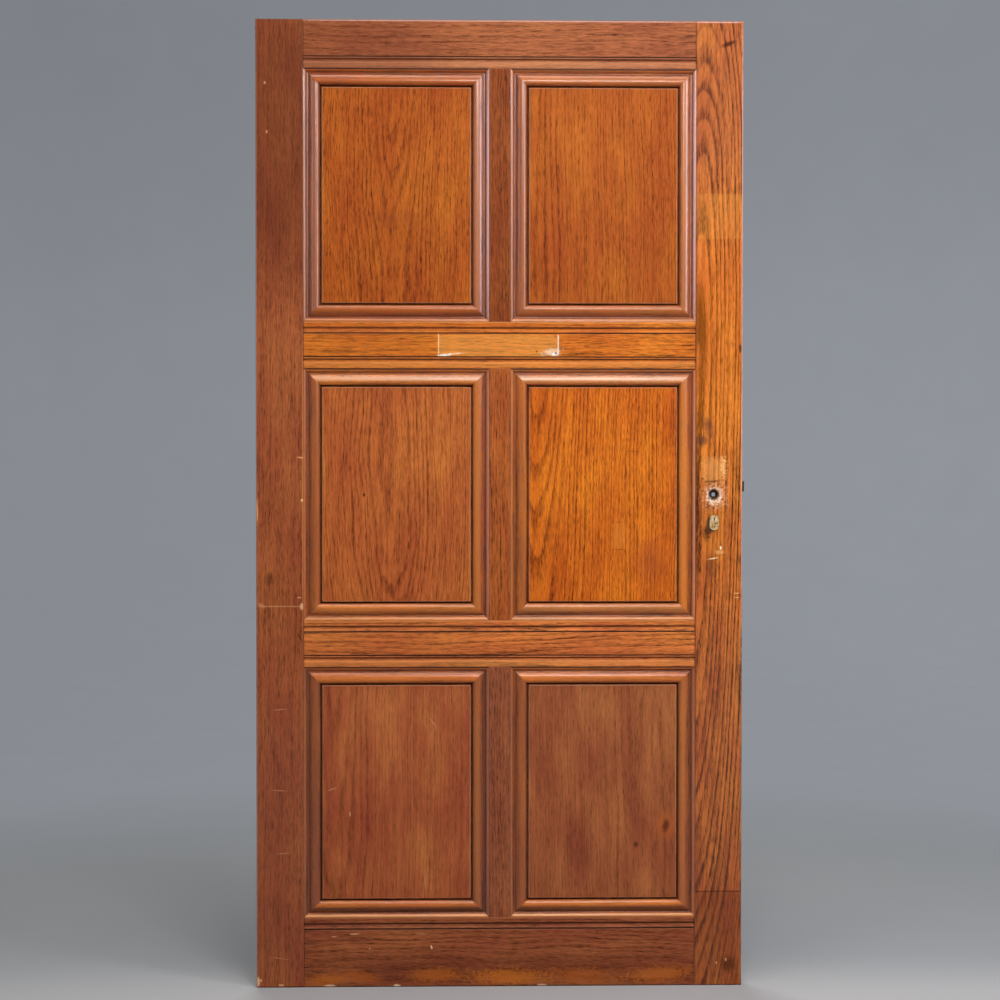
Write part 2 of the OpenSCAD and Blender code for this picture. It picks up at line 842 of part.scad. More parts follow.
// Oval body with a bore for the plugs, a gap for the cam and a tapped bridge below it
module cylinder_body() {
    end_y = cylinder_l / 2;
    gap_low = [lock_x - 2 * oval_r, -cam_gap / 2, key_z - cam_r - slide_clear];
    gap_high = [lock_x + 2 * oval_r, cam_gap / 2, key_z + 2 * oval_r];
    color(BRASS) difference() {
        through_y(-end_y, end_y) oval(0);
        rod_y(lock_x, key_z, plug_r + turn_clear, -end_y - cut, end_y + cut);
        block(gap_low, gap_high);
        cylinder_screw_place() screw(cylinder_screw_r, cylinder_screw_l() + cut, screw_clear);
    }
}

// Plug in the back half of the body, with its keyway open to the outer end
module plug() {
    near_y = cam_gap / 2 - turn_clear;
    end_y = cylinder_l / 2;
    difference() {
        rod_y(lock_x, key_z, plug_r, near_y, end_y);
        block([lock_x - keyway_w / 2, end_y - keyway_l, key_z - keyway_h / 2],
            [lock_x + keyway_w / 2, end_y + cut, key_z + keyway_h / 2]);
        block([lock_x - keyway_w, end_y - keyway_l, key_z + keyway_h / 4],
            [lock_x + keyway_w, end_y + cut, key_z + keyway_h / 2]);
    }
}

module front_plug() {
    color(BRASS) mirror([0, 1, 0]) plug();
}

module back_plug() {
    color(BRASS) plug();
}

// Cam between the two halves of the cylinder, its lobe hanging down at rest
module cylinder_cam() {
    half = cam_gap / 2 - turn_clear;
    color(STEEL) through_y(-half, half - turn_clear) {
        translate([lock_x, key_z]) circle(cam_ring_r);
        intersection() {
            translate([lock_x, key_z]) circle(cam_r);
            translate([lock_x - cam_lobe_w / 2, key_z - cam_r]) square([cam_lobe_w, cam_r]);
        }
    }
}

module cylinder_screw() {
    color(STEEL) cylinder_screw_place() screw(cylinder_screw_r, cylinder_screw_l());
}

hinge_stile();
lock_stile();
top_rail();
upper_cross_rail();
lower_cross_rail();
bottom_rail();
upper_muntin();
middle_muntin();
lower_muntin();
upper_left_panel();
upper_right_panel();
middle_left_panel();
middle_right_panel();
lower_left_panel();
lower_right_panel();
upper_left_front_moulding();
upper_right_front_moulding();
middle_left_front_moulding();
middle_right_front_moulding();
lower_left_front_moulding();
lower_right_front_moulding();
upper_left_back_moulding();
upper_right_back_moulding();
middle_left_back_moulding();
middle_right_back_moulding();
lower_left_back_moulding();
lower_right_back_moulding();
tenon_wedges();
lock_case();
lock_cover();
cover_screws();
forend();
forend_screws();
latch_bolt();
latch_spring();
follower();
dead_bolt();
cylinder_body();
front_plug();
back_plug();
cylinder_cam();
cylinder_screw();
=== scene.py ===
import math

import bpy
from mathutils import Matrix, Vector


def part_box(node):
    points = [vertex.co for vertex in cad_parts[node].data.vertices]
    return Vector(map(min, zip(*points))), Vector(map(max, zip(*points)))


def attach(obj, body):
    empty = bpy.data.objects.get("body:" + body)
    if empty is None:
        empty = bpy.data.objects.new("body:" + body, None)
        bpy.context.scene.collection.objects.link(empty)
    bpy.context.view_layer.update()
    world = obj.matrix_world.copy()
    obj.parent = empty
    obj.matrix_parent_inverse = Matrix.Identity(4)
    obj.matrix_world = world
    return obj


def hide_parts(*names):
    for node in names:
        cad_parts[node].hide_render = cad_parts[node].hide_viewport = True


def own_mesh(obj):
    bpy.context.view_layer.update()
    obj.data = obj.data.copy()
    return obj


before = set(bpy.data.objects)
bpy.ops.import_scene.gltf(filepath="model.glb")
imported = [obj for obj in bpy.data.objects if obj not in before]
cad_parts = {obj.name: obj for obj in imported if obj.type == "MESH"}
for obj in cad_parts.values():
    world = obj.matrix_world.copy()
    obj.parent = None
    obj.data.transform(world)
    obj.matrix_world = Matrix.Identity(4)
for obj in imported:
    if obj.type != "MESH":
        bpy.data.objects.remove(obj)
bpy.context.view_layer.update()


# Stiles
# The two uprights of the leaf, planed from solid European oak, 100 x 40 mm and as tall as the leaf.
# The hinge stile is dark and even; the lock stile is a coarse golden board cut across its rings.
# Both were stained, varnished and worn, with old scars. Their arrises are painted pale, as wear and painted
# highlight in one, and their corners darkened, as grime and painted shade in one; the pale lines along the
# outer edges are painted highlights and the dark line along the foot is a painted shadow.
def linear(code):
    """An sRGB hex colour as linear red, green, blue and alpha."""
    parts = [int(code[i:i + 2], 16) / 255 for i in (1, 3, 5)]
    return [c / 12.92 if c <= 0.04045 else ((c + 0.055) / 1.055) ** 2.4 for c in parts] + [1.0]


def add(tree, kind, inputs=None, **settings):
    """One node with its settings; inputs maps a socket to a value, or to the socket that feeds it."""
    made = tree.nodes.new(kind)
    for key, value in settings.items():
        setattr(made, key, value)
    for key, value in (inputs or {}).items():
        if isinstance(value, bpy.types.NodeSocket):
            tree.links.new(value, made.inputs[key])
        else:
            made.inputs[key].default_value = value
    return made


def sockets(tree, inputs, outputs):
    """The named inputs and outputs of a node group, as its two end nodes."""
    for name, kind, value in inputs:
        made = tree.interface.new_socket(name, in_out="INPUT", socket_type="NodeSocket" + kind)
        if value is not None:
            made.default_value = value
    for name, kind in outputs:
        tree.interface.new_socket(name, in_out="OUTPUT", socket_type="NodeSocket" + kind)
    return add(tree, "NodeGroupInput").outputs, add(tree, "NodeGroupOutput")


# Oak as the eye sees it: growth rings round a pith line (the Z axis of Place, bending away from the
# face by Bow), each beginning with a band of open pores, then dense wood; fibre and pores are short
# light and dark dashes along the grain. Real pores are 0.3 mm wide; here they are drawn 1.6 mm wide, to show.
oak_figure = bpy.data.node_groups.new("oak_figure", "ShaderNodeTree")
given, result = sockets(oak_figure, (
    ("Place", "Vector", None), ("Bow mm", "Float", 0.0), ("Ring mm", "Float", 6.0), ("Wander mm", "Float", 10.0),
    ("Ring depth", "Float", 0.3), ("Pore depth", "Float", 0.7), ("Streak", "Float", 0.9), ("Dash", "Float", 1.8),
    ("Cloud", "Float", 0.2), ("Light", "Color", None), ("Dark", "Color", None)),
    (("Colour", "Color"), ("Height", "Float"), ("Share", "Float")))
MM = 0.001
SWAYS = (((8.0, 8.0, 2.2), 2.6), ((45.0, 45.0, 9.0), 0.42), ((240.0, 240.0, 45.0), 0.12))  # to the metre; reach
DASHES, STREAKS, CLOUDS = (620.0, 620.0, 52.0), (150.0, 150.0, 7.0), (13.0, 13.0, 4.0)  # to the metre
SLOW_YEARS, YEAR_SWING = 0.31, 1.8
BASE_SHARE, RING_RISE = 0.2, 0.4
CLOUD_VALUE, CLOUD_HUE = 3.0, 0.12
T = oak_figure
place = given["Place"]
apart = add(T, "ShaderNodeSeparateXYZ", {0: place})
squared = add(T, "ShaderNodeMath", {0: apart.outputs[2], 1: apart.outputs[2]}, operation="MULTIPLY")
bow_m = add(T, "ShaderNodeMath", {0: given["Bow mm"], 1: MM}, operation="MULTIPLY")
bend = add(T, "ShaderNodeMath", {0: squared.outputs[0], 1: bow_m.outputs[0]}, operation="MULTIPLY")
deep = add(T, "ShaderNodeMath", {0: apart.outputs[1], 1: bend.outputs[0]}, operation="SUBTRACT")
flat = add(T, "ShaderNodeCombineXYZ", {0: apart.outputs[0], 1: deep.outputs[0]})
radius = add(T, "ShaderNodeVectorMath", {0: flat.outputs[0]}, operation="LENGTH").outputs["Value"]
wander_m = add(T, "ShaderNodeMath", {0: given["Wander mm"], 1: MM}, operation="MULTIPLY")
for per_metre, reach in SWAYS:
    there = add(T, "ShaderNodeVectorMath", {0: place, 1: per_metre}, operation="MULTIPLY")
    sway = add(T, "ShaderNodeTexNoise", {"Vector": there.outputs[0], "Scale": 1.0, "Detail": 1.0})
    sway = add(T, "ShaderNodeMapRange", {"Value": sway.outputs[0], "To Min": -reach, "To Max": reach})
    radius = add(T, "ShaderNodeMath", {0: sway.outputs[0], 1: wander_m.outputs[0], 2: radius},
                 operation="MULTIPLY_ADD").outputs[0]
ring_m = add(T, "ShaderNodeMath", {0: given["Ring mm"], 1: MM}, operation="MULTIPLY")
phase = add(T, "ShaderNodeMath", {0: radius, 1: ring_m.outputs[0]}, operation="DIVIDE")
years = add(T, "ShaderNodeMath", {0: phase.outputs[0], 1: SLOW_YEARS}, operation="MULTIPLY")
years = add(T, "ShaderNodeTexNoise", {"W": years.outputs[0], "Scale": 1.0, "Detail": 1.0}, noise_dimensions="1D")
phase = add(T, "ShaderNodeMath", {0: years.outputs[0], 1: YEAR_SWING, 2: phase.outputs[0]}, operation="MULTIPLY_ADD")
inside = add(T, "ShaderNodeMath", {0: phase.outputs[0]}, operation="FRACT")
count = add(T, "ShaderNodeMath", {0: phase.outputs[0]}, operation="FLOOR")
vigour = add(T, "ShaderNodeTexWhiteNoise", {"W": count.outputs[0]}, noise_dimensions="1D")
vigour = add(T, "ShaderNodeMapRange", {"Value": vigour.outputs["Value"], "To Min": 0.3, "To Max": 1.0})
fading = add(T, "ShaderNodeMapRange", {"Value": inside.outputs[0], "From Min": 0.15, "From Max": 0.7, "To Min": 1.0,
                                       "To Max": 0.0}, interpolation_type="SMOOTHSTEP")
onset = add(T, "ShaderNodeMapRange", {"Value": inside.outputs[0], "From Min": 0.0, "From Max": 0.14},
            interpolation_type="SMOOTHSTEP")
early = add(T, "ShaderNodeMath", {0: fading.outputs[0], 1: onset.outputs[0]}, operation="MULTIPLY")
ring = add(T, "ShaderNodeMath", {0: early.outputs[0], 1: vigour.outputs[0]}, operation="MULTIPLY")
fine = add(T, "ShaderNodeVectorMath", {0: place, 1: DASHES}, operation="MULTIPLY")
dash = add(T, "ShaderNodeTexNoise", {"Vector": fine.outputs[0], "Scale": 1.0, "Detail": 2.0, "Roughness": 0.65})
pores = add(T, "ShaderNodeMapRange", {"Value": dash.outputs[0], "From Min": 0.5, "From Max": 0.8},
            interpolation_type="SMOOTHSTEP")
crowd = add(T, "ShaderNodeMapRange", {"Value": ring.outputs[0], "To Min": 0.2, "To Max": 1.1})
pores = add(T, "ShaderNodeMath", {0: pores.outputs[0], 1: crowd.outputs[0]}, operation="MULTIPLY")
dash = add(T, "ShaderNodeMath", {0: dash.outputs[0], 1: -0.5}, operation="ADD")
streak = add(T, "ShaderNodeVectorMath", {0: place, 1: STREAKS}, operation="MULTIPLY")
fibre = add(T, "ShaderNodeTexNoise", {"Vector": streak.outputs[0], "Scale": 1.0, "Detail": 3.0, "Roughness": 0.65})
fibre = add(T, "ShaderNodeMath", {0: fibre.outputs[0], 1: -0.5}, operation="ADD")
broad = add(T, "ShaderNodeVectorMath", {0: place, 1: CLOUDS}, operation="MULTIPLY")
cloud = add(T, "ShaderNodeTexNoise", {"Vector": broad.outputs[0], "Scale": 1.0, "Detail": 4.0, "Roughness": 0.6})
cloud = add(T, "ShaderNodeMath", {0: cloud.outputs[0], 1: -0.5}, operation="ADD")
share = add(T, "ShaderNodeMath", {0: ring.outputs[0], 1: given["Ring depth"]}, operation="MULTIPLY")
for pattern, depth in ((pores, "Pore depth"), (fibre, "Streak"), (dash, "Dash")):
    share = add(T, "ShaderNodeMath", {0: pattern.outputs[0], 1: given[depth], 2: share.outputs[0]},
                operation="MULTIPLY_ADD")
share = add(T, "ShaderNodeMath", {0: share.outputs[0], 1: BASE_SHARE}, operation="ADD", use_clamp=True)
colour = add(T, "ShaderNodeMix", {0: share.outputs[0], 6: given["Light"], 7: given["Dark"]}, data_type="RGBA")
patchy = add(T, "ShaderNodeMath", {0: cloud.outputs[0], 1: given["Cloud"]}, operation="MULTIPLY")
value = add(T, "ShaderNodeMath", {0: patchy.outputs[0], 1: CLOUD_VALUE, 2: 1.0}, operation="MULTIPLY_ADD")
hue = add(T, "ShaderNodeMath", {0: patchy.outputs[0], 1: CLOUD_HUE, 2: 0.5}, operation="MULTIPLY_ADD")
colour = add(T, "ShaderNodeHueSaturation", {"Hue": hue.outputs[0], "Value": value.outputs[0],
                                            "Color": colour.outputs[2]})
rise = add(T, "ShaderNodeMath", {0: ring.outputs[0], 1: RING_RISE, 2: pores.outputs[0]}, operation="MULTIPLY_ADD")
rise = add(T, "ShaderNodeMath", {0: 1.0, 1: rise.outputs[0]}, operation="SUBTRACT")
T.links.new(colour.outputs[0], result.inputs["Colour"])
T.links.new(rise.outputs[0], result.inputs["Height"])
T.links.new(share.outputs[0], result.inputs["Share"])

# A patch on the front face, be it a scar, a stain, a rubbed place, a painted highlight or a painted shadow: how
# much of it lies at a point. Corner 2 gives an oval and 8 a rounded rectangle; Ragged breaks its edge with noise
# a few millimetres across.
scar_stain_and_light_patch = bpy.data.node_groups.new("scar_stain_and_light_patch", "ShaderNodeTree")
given, result = sockets(scar_stain_and_light_patch, (
    ("Place", "Vector", None), ("Centre", "Vector", None), ("Half", "Vector", None), ("Turn", "Float", 0.0),
    ("Corner", "Float", 2.0), ("Feather", "Float", 0.3), ("Ragged", "Float", 0.5)), (("Share", "Float"),))
T = scar_stain_and_light_patch
away = add(T, "ShaderNodeVectorMath", {0: given["Place"], 1: given["Centre"]}, operation="SUBTRACT")
away = add(T, "ShaderNodeVectorRotate", {"Vector": away.outputs[0], "Angle": given["Turn"]}, rotation_type="Y_AXIS")
away = add(T, "ShaderNodeVectorMath", {0: away.outputs[0]}, operation="ABSOLUTE")
away = add(T, "ShaderNodeVectorMath", {0: away.outputs[0], 1: given["Half"]}, operation="DIVIDE")
apart = add(T, "ShaderNodeSeparateXYZ", {0: away.outputs[0]})
side = add(T, "ShaderNodeMath", {0: apart.outputs[0], 1: given["Corner"]}, operation="POWER")
tall = add(T, "ShaderNodeMath", {0: apart.outputs[2], 1: given["Corner"]}, operation="POWER")
both = add(T, "ShaderNodeMath", {0: side.outputs[0], 1: tall.outputs[0]}, operation="ADD")
root = add(T, "ShaderNodeMath", {0: 1.0, 1: given["Corner"]}, operation="DIVIDE")
both = add(T, "ShaderNodeMath", {0: both.outputs[0], 1: root.outputs[0]}, operation="POWER")
grit = add(T, "ShaderNodeTexNoise", {"Vector": given["Place"], "Scale": 220.0, "Detail": 3.0})
grit = add(T, "ShaderNodeMath", {0: grit.outputs[0], 1: -0.5}, operation="ADD")
both = add(T, "ShaderNodeMath", {0: grit.outputs[0], 1: given["Ragged"], 2: both.outputs[0]},
           operation="MULTIPLY_ADD")
near = add(T, "ShaderNodeMath", {0: 1.0, 1: given["Feather"]}, operation="SUBTRACT")
far = add(T, "ShaderNodeMath", {0: 1.0, 1: given["Feather"]}, operation="ADD")
cover = add(T, "ShaderNodeMapRange", {"Value": both.outputs[0], "From Min": near.outputs[0],
                                      "From Max": far.outputs[0], "To Min": 1.0, "To Max": 0.0},
            interpolation_type="SMOOTHSTEP")
outwards = add(T, "ShaderNodeSeparateXYZ", {0: add(T, "ShaderNodeNewGeometry").outputs["True Normal"]})
front = add(T, "ShaderNodeMapRange", {"Value": outwards.outputs[1], "From Min": -0.1, "From Max": -0.4})
cover = add(T, "ShaderNodeMath", {0: cover.outputs[0], 1: front.outputs[0]}, operation="MULTIPLY")
T.links.new(cover.outputs[0], result.inputs["Share"])

UPRIGHT = (0.0, 0.0, 0.0)
CROSSWISE = (0.0, math.pi / 2, 0.0)
CROWN_BAND, DIRT_AND_SHADE_BAND = (0.0160, 0.0190), (0.0155, 0.0128)  # metres from the middle of the leaf
GAP_REACH, ARRIS_R, GRAIN_RELIEF = 0.006, 0.003, 0.0004


def board(name, light, dark, pith, lean=(0.0, 0.0), bow=0.0, grain=UPRIGHT, ring=6.0, wander=5.0, ring_depth=0.3,
          pore_depth=0.35, streak=1.1, dash=1.8, cloud=0.3, roughness=0.5, relief=0.25, sheen=0.08, gloss=0.0,
          arris_rub_and_glint=0.2, crown_wear_and_light=None, marks=()):
    """Varnished oak of one board. pith is a point on the ring centre line in mm; lean tips that line in degrees
    towards the face and along it. marks are stains, scars, painted highlights and painted shadows laid over the
    figure in turn: x, z, half width and half height in mm, turn in degrees, corner, feather, ragged edge, colour
    and strength. rub is how far arrises are painted pale, as wear and painted highlight in one; crown_wear_and_light
    is the tone that the 3 mm below the face are painted to, as wear and painted light on the crowns, with grime and
    painted shade left below."""
    made = bpy.data.materials.new(name)
    made.use_nodes = True
    tree = made.node_tree
    shader = tree.nodes["Principled BSDF"]
    here = add(tree, "ShaderNodeTexCoord").outputs["Object"]
    turned = (grain[0] + math.radians(lean[0]), grain[1] + math.radians(lean[1]), grain[2])
    local = add(tree, "ShaderNodeMapping", {"Vector": here, "Location": [v / 1000 for v in pith],
                                            "Rotation": turned}, vector_type="TEXTURE")
    figure = add(tree, "ShaderNodeGroup", {
        "Place": local.outputs[0], "Bow mm": bow, "Ring mm": ring, "Wander mm": wander, "Ring depth": ring_depth,
        "Pore depth": pore_depth, "Streak": streak, "Dash": dash, "Cloud": cloud, "Light": linear(light),
        "Dark": linear(dark)}, node_tree=oak_figure)
    coats = []
    # Painted light and shade by depth: the crowns are painted pale, as wear and painted highlight in one, and the
    # hollow below is painted dark, as grime and painted shade in one.
    if crown_wear_and_light:
        spot = add(tree, "ShaderNodeSeparateXYZ", {0: here})
        height = add(tree, "ShaderNodeMath", {0: spot.outputs[1]}, operation="ABSOLUTE")
        for (low, high), most, tint in ((CROWN_BAND, 0.4, crown_wear_and_light), (DIRT_AND_SHADE_BAND, 0.35, "#45251d")):
            amount = add(tree, "ShaderNodeMapRange", {"Value": height.outputs[0], "From Min": low, "From Max": high,
                                                      "To Max": most}, interpolation_type="SMOOTHSTEP")
            coats.append((amount.outputs[0], tint))
    for x, z, half_x, half_z, turn, corner, feather, ragged, tint, strength in marks:
        patch = add(tree, "ShaderNodeGroup", {
            "Place": here, "Centre": (x / 1000, 0.0, z / 1000), "Half": (half_x / 1000, 1.0, half_z / 1000),
            "Turn": math.radians(turn), "Corner": corner, "Feather": feather, "Ragged": ragged}, node_tree=scar_stain_and_light_patch)
        amount = add(tree, "ShaderNodeMath", {0: patch.outputs[0], 1: strength}, operation="MULTIPLY")
        coats.append((amount.outputs[0], tint))
    # Ambient occlusion darkens the gaps nearly black, as painted shade together with old grime and thick varnish;
    # arrises within a millimetre or two are painted pale, as wear and painted highlight in one.
    shade = add(tree, "ShaderNodeAmbientOcclusion", {"Distance": GAP_REACH}, samples=2)
    dirt_and_shade = add(tree, "ShaderNodeMapRange", {"Value": shade.outputs["AO"], "From Min": 0.18, "From Max": 0.52,
                                            "To Min": 0.97, "To Max": 0.0})
    coats.append((dirt_and_shade.outputs[0], "#140705"))
    soft = add(tree, "ShaderNodeBevel", {"Radius": ARRIS_R}, samples=3)
    true = add(tree, "ShaderNodeNewGeometry").outputs["True Normal"]
    facing = add(tree, "ShaderNodeVectorMath", {0: soft.outputs[0], 1: true}, operation="DOT_PRODUCT")
    rubbed_and_glinting = add(tree, "ShaderNodeMapRange", {"Value": facing.outputs["Value"], "From Min": 0.998, "From Max": 0.95,
                                              "To Min": 0.0, "To Max": arris_rub_and_glint})
    coats.append((rubbed_and_glinting.outputs[0], "#cc9574"))
    paint = figure.outputs["Colour"]
    for amount, tint in coats:
        paint = add(tree, "ShaderNodeMix", {0: amount, 6: paint, 7: linear(tint)}, data_type="RGBA").outputs[2]
    tree.links.new(paint, shader.inputs["Base Color"])
    dull = add(tree, "ShaderNodeMapRange", {"Value": figure.outputs["Share"], "To Min": roughness,
                                            "To Max": roughness + 0.14})
    tree.links.new(dull.outputs[0], shader.inputs["Roughness"])
    bump = add(tree, "ShaderNodeBump", {"Strength": relief, "Distance": GRAIN_RELIEF,
                                        "Height": figure.outputs["Height"], "Normal": soft.outputs[0]})
    tree.links.new(bump.outputs[0], shader.inputs["Normal"])
    shader.inputs["IOR"].default_value = 1.5
    shader.inputs["Specular IOR Level"].default_value = sheen
    shader.inputs["Coat Weight"].default_value = gloss
    shader.inputs["Coat Roughness"].default_value = 0.18
    return made


def dress(node, material):
    """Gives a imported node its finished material."""
    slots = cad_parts[node].data.materials
    slots.clear()
    slots.append(material)


dress("hinge_stile", board(
    "hinge_stile_oak", "#a05530", "#2c1307", pith=(-890, 70, 0), lean=(0.6, 0.3), ring=7.0, wander=4.0,
    ring_depth=0.15, marks=(
        (-466, 1800, 80, 300, 0, 8, 0.5, 0.5, "#54250f", 0.6),
        (-466, 300, 80, 350, 0, 8, 0.5, 0.5, "#8a5544", 0.2),
        # Painted highlight, partly wear: a pale lavender line down the outer edge.
        (-515.2, 1025, 1.4, 1022, 0, 8, 0.35, 0.9, "#b98d86", 0.6),
        (-417.2, 1060, 1.3, 270, 0, 8, 0.4, 1.0, "#cf8044", 0.6),
        (-487, 868, 9, 13, 0, 2, 0.7, 0.8, "#4f2714", 0.6),
        (-465, 811, 47, 1.3, 0, 8, 0.5, 1.6, "#c48a5e", 0.55),
        (-505, 813, 9, 4, -20, 2, 0.5, 0.8, "#c9855a", 0.5),
        (-419.5, 811, 3.5, 7, 0, 2, 0.4, 0.6, "#e0a878", 0.85),
        (-424.6, 829.5, 5, 1.2, -5, 2, 0.5, 0.6, "#d69a6a", 0.8),
        (-423.6, 745, 2.2, 10, 25, 2, 0.5, 1.0, "#43200f", 0.7),
        (-420, 1126, 9, 1.5, -6, 2, 0.5, 0.6, "#dc9a62", 0.85),
        (-419, 1036, 2.2, 3, 0, 2, 0.5, 0.4, "#ecb983", 0.9),
        (-514, 1013, 2.6, 24, 0, 2, 0.5, 1.0, "#d9a070", 0.75),
        (-466, 592, 15, 1.0, 4, 2, 0.5, 1.0, "#b98560", 0.6),
        (-470, 420, 17, 1.0, -3, 2, 0.5, 1.0, "#b98560", 0.6),
        (-458, 286, 13, 1.0, 6, 2, 0.5, 1.0, "#b98560", 0.6),
        (-466, 62, 16, 1.0, -8, 2, 0.5, 1.0, "#b98560", 0.6),
        (-496, 1916, 2.0, 2.8, 0, 2, 0.5, 0.4, "#c98f66", 0.8),
        (-492, 1813, 1.8, 3.2, 0, 2, 0.5, 0.4, "#c98f66", 0.8),
        # Painted shadow: a dark line along the foot, where the leaf stands on the floor.
        (-466, 0.6, 60, 1.5, 0, 8, 0.4, 0.8, "#1d0d07", 0.8),
        (-513, 13, 3.5, 10, 0, 2, 0.4, 0.8, "#e2b184", 0.9),
        (-507, 15, 2.5, 2.4, 0, 2, 0.4, 0.6, "#d9a577", 0.9),
        (-464, 5, 6, 2.2, 0, 2, 0.4, 0.6, "#cf9b6c", 0.8))))
dress("lock_stile", board(
    "lock_stile_oak", "#cf7430", "#3a1a06", pith=(418, 12, 1150), lean=(0.0, 1.2), bow=60.0, ring=7.0, wander=3.0,
    ring_depth=0.8, pore_depth=0.65, streak=1.8, cloud=0.4, marks=(
        (466, 330, 70, 430, 0, 8, 0.45, 0.4, "#855243", 0.3),
        (466, 1350, 80, 220, 0, 8, 0.5, 0.5, "#e8800c", 0.22),
        (466, 1900, 80, 200, 0, 8, 0.4, 0.5, "#84462f", 0.42),
        (466, 1638, 60, 47.5, 0, 8, 0.06, 0.1, "#e0933e", 0.2),
        (466, 95, 70, 106, 0, 8, 0.06, 0.2, "#66321f", 0.38),
        (466, 201, 60, 1.5, 0, 8, 0.4, 0.8, "#4f2413", 0.7),
        # Painted shadow: a dark line along the foot, where the leaf stands on the floor.
        (466, 0.6, 60, 1.5, 0, 8, 0.4, 0.8, "#1d0d07", 0.8),
        (488, 45, 15, 17, 0, 2, 0.7, 0.8, "#42220f", 0.7),
        (483, 55, 1.5, 3.4, 0, 2, 0.4, 0.4, "#d9a06a", 0.9),
        (463, 48, 1.6, 2.2, 0, 2, 0.4, 0.4, "#d9a06a", 0.8),
        (443, 1190, 10, 24, 15, 2, 0.8, 1.2, "#64352a", 0.6),
        (429, 1163, 12, 10, 20, 2, 0.6, 1.2, "#553328", 0.75),
        (457, 1100, 24, 26, 0, 4, 0.3, 1.8, "#eba85c", 0.38),
        (475, 1104, 5, 19, 0, 3, 0.5, 2.4, "#f4c47c", 0.5),
        (457, 1044, 20, 22, 0, 3, 0.5, 2.6, "#e6b48a", 0.5),
        (456, 1045, 14.5, 15.5, 0, 2, 0.3, 2.2, "#f2dcc2", 0.7),
        (455.5, 1048, 11.8, 12.2, 0, 2, 0.12, 0.6, "#2c1c14", 0.9),
        (456, 962, 25, 52, 0, 8, 0.2, 1.0, "#e08d2c", 0.22),
        (451, 1076, 16, 1.8, 3, 8, 0.4, 1.0, "#5a3016", 0.75),
        # Painted shadow: a dark patch to the left of the key cylinder.
        (444, 974, 9, 21, -12, 2, 0.5, 1.4, "#3d2010", 0.9),
        (447, 893, 8, 27, 0, 2, 0.7, 0.7, "#5f331c", 0.65),
        (454, 912, 11, 1.3, 8, 2, 0.4, 0.8, "#f4d3a6", 0.85),
        (470, 935, 1.8, 4, 0, 2, 0.4, 0.3, "#fff0d4", 0.95),
        (467, 925, 9, 4, 0, 2, 0.6, 1.2, "#e9b070", 0.5),
        (505, 838, 6, 1.1, 0, 2, 0.5, 0.8, "#ecb678", 0.8),
        (505, 829, 5, 1.1, 0, 2, 0.5, 0.8, "#ecb678", 0.7),
        (484, 2002, 15, 4.5, 20, 2, 0.6, 0.6, "#431b0c", 0.9),
        (511, 1358, 3.5, 9, 0, 2, 0.5, 0.6, "#43240f", 0.85),
        (417.2, 1050, 1.0, 1000, 0, 8, 0.4, 1.0, "#7a3d1c", 0.6),
        # Painted highlights, partly wear: pale lavender lines along the outer edge and the top edge.
        (514.8, 1420, 1.4, 620, 0, 8, 0.35, 0.9, "#d6aaa0", 0.7),
        (466, 2047.6, 50, 1.3, 0, 8, 0.35, 0.9, "#d6aaa0", 0.7))))


# Rails
# Four cross pieces tenoned into the stiles, each shoulder showing as a dark line. Their edges along the
# panels are worked with a flute, a fillet and a scratched line. The bottom rail is the tall one, kicked
# and mopped dark; the upper cross rail keeps a pale ghost with crumbs of paint at its ends.
SHOULDER, SCRATCHED_LINE = 415.4, 24.4


def worked_edge(z, inward, dirt_and_shade, bare_and_lit):
    """Marks along a rail edge at height z: painted shade on the down-turned wall of its flute, grime and painted
    shade in its scratched line, and painted light along its lip. inward is 1 where the rail lies above that edge
    and -1 where it lies below."""
    shaded, lip, half = (19.4, 8.5, 6.5) if inward > 0 else (-13.4, -2.0, 2.0)
    return ((0, z + shaded, 500, 1.6, 0, 8, 0.45, 0.5, dirt_and_shade, 0.75),
            (0, z + lip, 500, half, 0, 8, 0.5, 0.6, bare_and_lit, 0.35),
            (0, z + SCRATCHED_LINE * inward, 500, 1.3, 0, 8, 0.45, 0.5, dirt_and_shade, 0.75))


def shoulders(z, half, tint, strength):
    """Marks for the dark joint lines at both ends of a rail."""
    return tuple((x, z, 1.0, half, 0, 8, 0.4, 0.6, tint, strength) for x in (-SHOULDER, SHOULDER))


